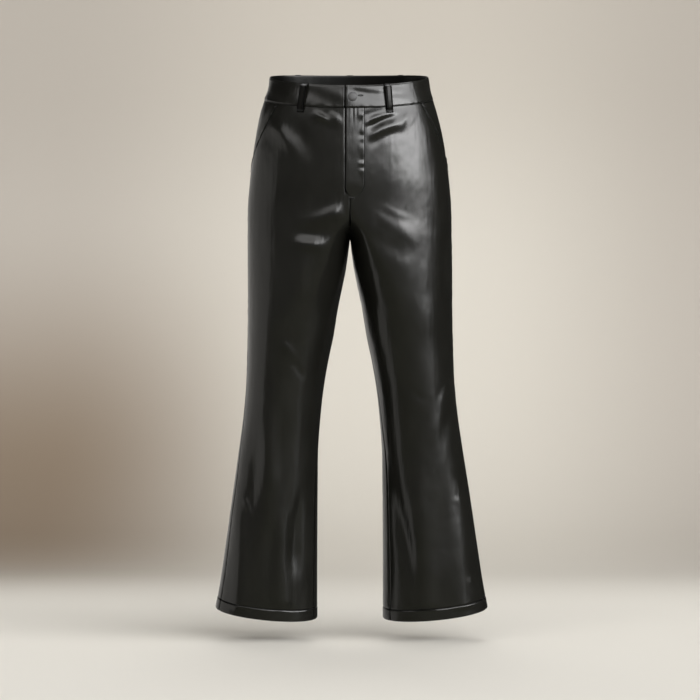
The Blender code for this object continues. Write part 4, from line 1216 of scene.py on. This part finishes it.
def fly_stitches():
    """The curved row that holds the flap down, and the bartack at its lower end."""
    turns = np.radians(np.linspace(0.0, 78.0, 60))
    wide, deep = FLY_WIDE - FLAP_SEWN, FLY_STRAIGHT - FLY_END - FLAP_SEWN
    x = np.concatenate([np.full(120, wide), FLY_CURVE + (wide - FLY_CURVE) * np.cos(turns)])
    z = np.concatenate([np.linspace(-0.0585, FLY_STRAIGHT, 120), FLY_STRAIGHT - deep * np.sin(turns)])
    runs = [stitch_run(front_cloth, x, z, np.full(len(x), 0.0006))]

    def place(along, aside, lift):
        return front_cloth(along - 0.0028, -0.2148 - 0.16 * along + aside, 0.0009 + lift)

    runs.append(tack_run(place, 0.0115, 0.0024))
    sewn_piece("fly_stitches", runs)


def zip_teeth():
    """The coil of the closed zip: close turns across the chain."""
    heights = np.arange(ZIP_END + 0.004, SLIDER_Z - SLIDER_BELOW - 0.001, 0.0013)
    x = ZIP_MIDDLE + np.linspace(-1.0, 1.0, 5) * CHAIN_HALF * 0.8
    across_it, height = np.meshgrid(x, heights)
    lift = -0.0012 - 0.0004 * np.array([1.0, 0.0, 0.4, 0.0, 1.0]) + np.zeros(height.shape)
    centre = front_cloth(across_it, height, lift)
    normal = np.zeros(centre.shape)
    normal[..., 1] = -1.0
    points, faces = tube_along(centre, normal, 0.0004, 6)
    mesh = bpy.data.meshes.new("zip_teeth")
    mesh.from_pydata(points, [], faces)
    return add_piece("zip_teeth", mesh, ["zip_cloth"])


class TROUSERS_OT_fly(bpy.types.Operator):
    """Add the fly flap and the zip"""

    bl_idname = "trousers.fly"
    bl_label = "Fly and Zip"

    def execute(self, context):
        fly_flap()
        fly_stitches()
        zip_teeth()
        dress("zip_tape", "zip_cloth")
        dress("zip_slider", "zip_metal")
        dress("zip_pull_tab", "zip_metal")
        return {"FINISHED"}


# ---------------------------------------------------------------- pockets


def pocket_facing(side):
    """The piece that shows behind the slanted edge: it comes up to the front's level at the side seam."""
    heights = np.concatenate([
        np.linspace(POCKET_END - 0.016, POCKET_END, 6),
        np.linspace(POCKET_END + 0.003, SIDE_TOP - BAND_HEIGHT, 48),
    ])
    share = closer_at_ends(34, 0.5)
    height = np.repeat(heights[:, None], len(share), axis=1)
    z = height
    for _ in range(4):
        edge = np.where(z > POCKET_END, slant_angle(side, z), side_angle(side, z))
        inner = edge - POCKET_LAP / reach(side, edge, z)
        outer = side_angle(side, z)
        outer = outer - HALF_GAP / reach(side, outer, z)
        angle = inner + (outer - inner) * share[None, :]
        z = settled(height, angle)
    past = (angle - edge) * reach(side, edge, z)  # distance outside the slanted edge
    sunk = 1 - ease((past - 0.003) / 0.022)
    from_side = (side_angle(side, z) - angle) * reach(side, angle, z)
    lift = -(0.0014 + LAYER_GAP + 0.0004) * sunk - 0.0010 * bump(from_side, 0.0022)
    lift = lift + 0.0003 * gathers(z, 0.0046, side) * bump(from_side - GATHER_FROM, GATHER_WIDE)
    here, normal = cloth_and_normal(side, angle, z)
    outer = here + normal * lift[..., None]
    inner = here + normal * (lift - 0.0014)[..., None]
    # Painted shade under the slanted edge of the front and along the side seam
    dull = ease((0.0035 - past) / 0.0035) + 0.8 * bump(from_side, 0.0014)
    slots, node = ["coated_cloth", "cloth_back"], f"pocket_facing_{WORD[side]}"
    made = wall(f"pocket_facing_cloth_{WORD[side]}", outer, inner, slots, node, dull)
    size, area = cut_size(outer)
    return made


def pocket_stitches(side):
    """The row beside the slanted edge, and a bartack at each of its ends."""

    def beside_edge(z):
        edge = slant_angle(side, z)
        return edge - POCKET_SEWN / reach(side, edge, z)

    height = np.linspace(POCKET_END + 0.003, SIDE_TOP - BAND_HEIGHT - 0.002, 150)
    angle, z = settle(height, beside_edge)
    runs = [stitch_run(cloth, side, angle, z, np.full(len(z), -0.0002))]
    for i in (4, -5):
        runs.append(tack_run(pocket_tack(side, angle[i], z[i]), 0.0060, TACK_LONG))
    sewn_piece(f"pocket_stitches_{WORD[side]}", runs)


def pocket_tack(side, angle, z):
    """Where a bartack across the slanted edge goes, from the stitched row outwards."""

    def place(along, aside, lift):
        return cloth(side, angle + (along - 0.0006) / reach(side, angle, z), z + aside, 0.0011 + lift)

    return place


def pocket_bag(side):
    """The bag is hidden, so its solid is shown as it is. It is flat but for the curve of the hip."""
    solid = dress(f"pocket_bag_{WORD[side]}", "pocketing")
    return solid


class TROUSERS_OT_pockets(bpy.types.Operator):
    """Add the slant pockets' facings and bags"""

    bl_idname = "trousers.pockets"
    bl_label = "Pockets"

    def execute(self, context):
        for side in (RIGHT, LEFT):
            pocket_facing(side)
            pocket_stitches(side)
            pocket_bag(side)
        return {"FINISHED"}


# ---------------------------------------------------------------- button


def button():
    """The domed button on its short neck: a turned cap with a rolled rim."""
    r = BUTTON_RADIUS
    turns = np.linspace(0.0, 1.45, 20)
    dome = np.stack([0.93 * r * np.sin(turns), BUTTON_RIM + BUTTON_DOME * np.cos(turns)], axis=-1)
    turns = np.linspace(0.5, 2.9, 9)
    rim_up = BUTTON_RIM - 0.0001 + 0.0006 * np.cos(turns)
    rim = np.stack([0.94 * r + 0.06 * r * np.sin(turns), rim_up], axis=-1)
    neck = 0.34 * r
    under = [(0.80 * r, BUTTON_STAND), (neck, BUTTON_STAND), (neck, 0.0), (0.0, 0.0)]
    profile = np.concatenate([dome, rim, under])
    turns = np.linspace(0.0, 2 * math.pi, 64, endpoint=False)
    turn, share = np.array([turn_at(BUTTON_X)]), np.array([0.5])
    foot = band(turn, share, lap_proud(turn) + LAYER_GAP)[0]
    above = band(turn, share, lap_proud(turn) + LAYER_GAP + LIFT_STEP)[0]
    out = Vector(above - foot).normalized()
    side_way = out.cross(Vector((0.0, 0.0, 1.0))).normalized()
    up_way = side_way.cross(out)
    ring = np.cos(turns)[:, None] * np.array(side_way) + np.sin(turns)[:, None] * np.array(up_way)
    points = foot + profile[:, 0, None, None] * ring[None] + profile[:, 1, None, None] * np.array(out)
    shape = bmesh.new()
    rows = [[shape.verts.new(point) for point in row] for row in points]
    for low, high in zip(rows, rows[1:]):
        for i in range(len(turns)):
            k = (i + 1) % len(turns)
            shape.faces.new((low[i], low[k], high[k], high[i]))
    bmesh.ops.remove_doubles(shape, verts=shape.verts, dist=1e-6)
    bmesh.ops.recalc_face_normals(shape, faces=shape.faces)
    mesh = bpy.data.meshes.new("button_cap")
    shape.to_mesh(mesh)
    shape.free()
    return add_piece("button_cap", mesh, ["button_metal"], "button", sharp=60)


def buttonhole():
    """Close stitches round a slit beside the button."""
    sew = bpy.context.scene.trousers_sewing
    middle = (HOLE[0] + HOLE[1]) / 2
    half = (HOLE[1] - HOLE[0]) / 2
    turns = np.linspace(0.0, 2 * math.pi, 72, endpoint=False)
    share = np.array([0.35, 0.5, 0.7, 0.9, 1.0])
    lift = np.array([-0.6, 0.7, 0.9, 0.7, -0.8]) * sew.thread / 2
    x = middle + np.cos(turns)[:, None] * (half - 0.0014 + HOLE_STITCH * share)
    up = np.sin(turns)[:, None] * HOLE_STITCH * share
    turn, share = turn_of(x), HOLE_SHARE + up / BAND_HEIGHT
    lift = lap_proud(turn) + 0.0001 + lift
    centre = band(turn, share, lift)
    normal = band(turn, share, lift + LIFT_STEP) - centre
    return sewn_piece("buttonhole_stitches", [(centre, normal)])


class TROUSERS_OT_button(bpy.types.Operator):
    """Add the button and its buttonhole"""

    bl_idname = "trousers.button"
    bl_label = "Button"

    def execute(self, context):
        button()
        buttonhole()
        return {"FINISHED"}


# ---------------------------------------------------------------- studio

Glow = namedtuple("Glow", "left right low high from_left from_right from_below light tint")
# What the coating mirrors around it: the dim room, pale cards, a soft box and a light behind. Each has its
# bearings and elevations, how far it fades in from three of its edges, all in degrees, and its light.
# Bearing 0 is in front of the garment and 90 to the wearer's left. A later one covers an earlier one.
GLOWS = (
    Glow(-80, 80, -89, 89, 20, 20, 20, 0.12, (1.0, 0.97, 0.92)),  # the dim room in front
    Glow(-70, 70, -60, -6, 10, 10, 5, 0.16, (1.0, 1.0, 0.74)),  # the floor in front
    Glow(-60, 36, 21, 48, 8, 8, 10, 1.9, (1.0, 0.98, 0.96)),  # a pale ceiling in front
    Glow(-175, -67, -35, 13, 5, 5, 5, 0.62, (1.0, 0.97, 0.92)),  # a card on the left
    Glow(50, 64, -14, 4, 5, 5, 6, 0.45, (1.0, 1.0, 1.0)),  # a low strip beside the soft box
    Glow(-4, 87, 11, 34, 14, 6, 5, 6.3, (1.0, 1.0, 1.0)),  # the wide upper part of the soft box
    Glow(26, 73, 8.5, 18, 14, 8, 4, 13.0, (1.0, 1.0, 1.0)),  # the soft box
    Glow(146, 214, 30, 72, 8, 8, 8, 2.6, (1.0, 1.0, 1.0)),  # a light high up behind
)
TOP_FADE = math.radians(5.0)

# The paper's own colour, then its painted shade high up, at its sides and low on the wearer's right, and the
# painted light of the floor in front
PAPER = (0.500, 0.473, 0.422)
PAPER_HIGH_SHADE = (0.440, 0.408, 0.361)
PAPER_ASIDE_SHADE = (0.365, 0.336, 0.299)
PAPER_CORNER_SHADE = (0.192, 0.150, 0.110)
PAPER_NEAR_LIT = (0.785, 0.759, 0.698)
PAPER_HALF = 3.0
PAPER_FRONT = -1.9
FLOOR_FAR = (0.72, 0.69, 0.63)
FLOOR_RADIUS = 9.0
OVERHEAD = {"place": (0.3, 0.2, 2.6), "aim": (0.0, 0.3, -1.0), "width": 2.6, "height": 2.2}


def area_light(name, place, aim, width, height, radiance):
    """A soft rectangular light that shines from a place towards another one."""
    data = bpy.data.lights.new(name, "AREA")
    data.shape = "RECTANGLE"
    data.size, data.size_y = width, height
    data.energy = radiance * math.pi * width * height
    lamp = bpy.data.objects.new(name, data)
    lamp.location = place
    lamp.rotation_euler = (Vector(aim) - Vector(place)).to_track_quat("-Z", "Y").to_euler()
    lamp.visible_camera = False
    bpy.context.scene.collection.objects.link(lamp)
    return lamp


def stage_piece(name, mesh, material):
    mesh.shade_smooth()
    mesh.materials.append(material)
    made = bpy.data.objects.new(name, mesh)
    made.visible_glossy = False
    bpy.context.scene.collection.objects.link(made)
    return made


def paper_colour(paper):
    """Pale warm paper with painted shade: darker at its sides and high up, and darkest low on the wearer's
    right. It is painted lighter on the floor in front, as if lit there.
    """
    x, y, z = paper.apart(paper.place())
    # painted shade towards the sides, high up and low on the wearer's right
    aside = x.math("SUBTRACT", 0.12).math("ABSOLUTE").between(0.15, 1.0)
    high = z.between(-0.3, 0.6)
    corner = (1 - x.between(-0.85, -0.05)) * z.between(-0.05, -0.85)
    pale = paper.blend(high, PAPER, PAPER_HIGH_SHADE)
    pale = paper.blend(aside, pale, PAPER_ASIDE_SHADE)
    pale = paper.blend(corner, pale, PAPER_CORNER_SHADE)
    # painted light: lighter on the floor in front of the garment
    return paper.blend(y.between(1.75, 0.55), pale, PAPER_NEAR_LIT)


def sweep(studio, floor):
    """Paper that runs from the floor up into a wall. It is clear from behind."""
    start, radius = studio.sweep_start, studio.sweep
    profile = [(y, floor) for y in (PAPER_FRONT, -0.8, 0.3, start)]
    for turn in np.radians(np.linspace(5.0, 90.0, 18)):
        profile.append((start + radius * math.sin(turn), floor + radius * (1 - math.cos(turn))))
    profile += [(start + radius, floor + radius + up) for up in (0.8, 1.8, 3.2)]
    xs = np.linspace(-PAPER_HALF, PAPER_HALF, 13)
    points = [(x, y, z) for y, z in profile for x in xs]
    faces = []
    for i in range(len(profile) - 1):
        for j in range(len(xs) - 1):
            k = i * len(xs) + j
            faces.append((k, k + 1, k + 1 + len(xs), k + len(xs)))
    mesh = bpy.data.meshes.new("backdrop")
    mesh.from_pydata(points, [], faces)
    paper = Finish("backdrop", Roughness=0.8, Specular_IOR_Level=0.1)
    paper.set("Base Color", paper_colour(paper))
    behind = paper.add("ShaderNodeNewGeometry", output="Backfacing")
    clear = paper.add("ShaderNodeBsdfTransparent")
    coated = Wire(paper, paper.shader.outputs[0])
    shown = paper.add("ShaderNodeMixShader", {}, {0: behind, 1: coated, 2: clear})
    paper.put(paper.tree.nodes["Material Output"].inputs["Surface"], shown)
    return stage_piece("backdrop", mesh, paper.material)


def floor_disc(floor):
    """A round floor, in the same painted light as the paper's floor close to the garment, that turns a little
    darker and fades out into the room further away.
    """
    disc = bmesh.new()
    bmesh.ops.create_circle(disc, cap_ends=True, segments=96, radius=FLOOR_RADIUS)
    bmesh.ops.translate(disc, vec=(0.0, 0.0, floor - 0.002), verts=disc.verts)
    mesh = bpy.data.meshes.new("floor")
    disc.to_mesh(mesh)
    disc.free()
    paint = Finish("floor", Roughness=0.8, Specular_IOR_Level=0.1)
    x, y, z = paint.apart(paint.place())
    out = ((x ** 2.0 + y ** 2.0) ** 0.5).between(2.5, 8.5)
    paint.set("Base Color", paint.blend(out, PAPER_NEAR_LIT, FLOOR_FAR))
    paint.set("Alpha", 1 - out)
    return stage_piece("floor", mesh, paint.material)


def mirrored_room(studio):
    """The world: a pale room for the camera, and around the garment the cards of GLOWS."""
    world = bpy.data.worlds.new("room")
    world.use_nodes = True
    room = Nodes(world.node_tree)
    x, y, z = room.apart(room.add("ShaderNodeTexCoord", output="Generated"))
    flat = (x * x + y * y) ** 0.5
    height = z.math("ARCSINE")
    seen = tuple(part * studio.room_strength for part in studio.room)
    for glow in GLOWS:
        left, right, low, high, in_left, in_right, in_below = (math.radians(value) for value in glow[:7])
        past_left = (x * math.cos(left) + y * math.sin(left)) / flat
        before_right = (x * -math.cos(right) - y * math.sin(right)) / flat
        inside = past_left.between(0.0, math.sin(in_left)) * before_right.between(0.0, math.sin(in_right))
        inside = inside * height.between(low - in_below / 2, low + in_below / 2)
        inside = inside * height.between(high + TOP_FADE / 2, high - TOP_FADE / 2)
        seen = room.blend(inside, seen, tuple(glow.light * part for part in glow.tint))
    camera = room.add("ShaderNodeLightPath", output="Is Camera Ray")
    shown = room.blend(camera, seen, tuple(studio.wall))
    room.put(world.node_tree.nodes["Background"].inputs["Color"], shown)
    bpy.context.scene.world = world


class TROUSERS_OT_studio(bpy.types.Operator):
    """Add the floor and backdrop, the lights and the camera"""

    bl_idname = "trousers.studio"
    bl_label = "Studio"

    def execute(self, context):
        studio = context.scene.trousers_studio
        floor = HEM_HEIGHT - HEM_TILT - studio.floor_gap
        sweep(studio, floor)
        floor_disc(floor)
        mirrored_room(studio)
        area_light("overhead", radiance=studio.overhead, **OVERHEAD)
        context.scene.view_settings.view_transform = "Standard"

        camera = bpy.data.cameras.new("camera")
        camera.lens = studio.lens
        camera.sensor_width = 36.0
        camera.clip_end = 30.0
        seen_from = bpy.data.objects.new("camera", camera)
        seen_from.location = (0.0, -studio.distance, studio.camera_height)
        seen_from.rotation_euler = (math.pi / 2, 0.0, 0.0)
        context.scene.collection.objects.link(seen_from)
        context.scene.camera = seen_from
        return {"FINISHED"}


# ---------------------------------------------------------------- what a user would change


def length_of(name, default, about):
    return FloatProperty(name=name, description=about, default=default, unit="LENGTH", precision=4)


def number_of(name, default, about, **limits):
    return FloatProperty(name=name, description=about, default=default, precision=5, **limits)


def colour_of(name, default, about):
    return FloatVectorProperty(name=name, description=about, default=default, subtype="COLOR")


class TrousersCloth(bpy.types.PropertyGroup):
    """The coated cloth and the button"""

    thickness: length_of("Thickness", 0.0014, "Coated cloth, with its backing")
    coating: colour_of("Coating", (0.0052, 0.0051, 0.0040), "Colour of the coating")
    roughness: number_of("Roughness", 0.21, "Roughness of the coating", min=0.0, max=1.0)
    # Painted shade: how far the shaded seams, edges and loops are kept from mirroring
    crevice: number_of("Crevice", 0.95, "Share of the shine that seams and edges lose", min=0.0, max=1.0)
    grain: length_of("Grain", 0.0011, "Size of a pebble of the grain")
    pebble: number_of("Grain Height", 0.00004, "Height of the grain")
    lines: number_of("Line Height", 0.00045, "Height of the faint upright lines")
    wobble: number_of("Unevenness", 0.0012, "Height of the soft unevenness")
    button: colour_of("Button", (0.10, 0.10, 0.102), "Colour of the button and slider")


class TrousersSewing(bpy.types.PropertyGroup):
    """Stitches and what they do to the cloth"""

    pitch: length_of("Stitch", 0.0030, "Length of a stitch")
    thread: length_of("Thread", 0.00042, "Thickness of the thread")
    groove: length_of("Seam Groove", 0.0012, "How far a seam draws the cloth in")
    gather: length_of("Gathers", 0.0003, "Height of the small gathers beside a seam")


class TrousersStudio(bpy.types.PropertyGroup):
    """The floor, the lights and the camera"""

    floor_gap: length_of("Floor Gap", 0.044, "From the hem down to the floor")
    overhead: number_of("Overhead", 1.2, "Radiance of the overhead light")
    room: colour_of("Room", (1.0, 0.97, 0.92), "Colour of the dim room")
    room_strength: number_of("Room Strength", 0.03, "Light of the dim room")
    wall: colour_of("Far Wall", (0.56, 0.53, 0.48), "Colour of the far wall")
    sweep: length_of("Sweep", 1.3, "Radius of the curve from the floor to the wall")
    sweep_start: length_of("Sweep Start", 1.3, "Where the curve begins, behind the garment")
    distance: length_of("Camera Distance", 4.5, "From the camera to the garment's middle")
    camera_height: length_of("Camera Height", -0.4978, "Height of the camera")
    lens: number_of("Lens", 121.8, "Focal length in millimetres")


class TROUSERS_PT_panel(bpy.types.Panel):
    """The operators, in the order in which they run"""

    bl_idname = "TROUSERS_PT_panel"
    bl_label = "Coated Trousers"
    bl_space_type = "VIEW_3D"
    bl_region_type = "UI"
    bl_category = "Trousers"

    def draw(self, context):
        for operator in OPERATORS:
            self.layout.operator(operator.bl_idname)


OPERATORS = (
    TROUSERS_OT_legs,
    TROUSERS_OT_waistband,
    TROUSERS_OT_belt_loops,
    TROUSERS_OT_fly,
    TROUSERS_OT_pockets,
    TROUSERS_OT_button,
    TROUSERS_OT_studio,
)
GROUPS = {
    "trousers_cloth": TrousersCloth,
    "trousers_sewing": TrousersSewing,
    "trousers_studio": TrousersStudio,
}


def register():
    for group in (*GROUPS.values(), *OPERATORS, TROUSERS_PT_panel):
        bpy.utils.register_class(group)
    for name, group in GROUPS.items():
        setattr(bpy.types.Scene, name, PointerProperty(type=group))


def unregister():
    for name in GROUPS:
        delattr(bpy.types.Scene, name)
    for group in (TROUSERS_PT_panel, *reversed(OPERATORS), *GROUPS.values()):
        bpy.utils.unregister_class(group)


def main():
    register()
    bpy.ops.trousers.legs()
    bpy.ops.trousers.waistband()
    bpy.ops.trousers.belt_loops()
    bpy.ops.trousers.fly()
    bpy.ops.trousers.pockets()
    bpy.ops.trousers.button()
    bpy.ops.trousers.studio()


if __name__ == "__main__":
    main()
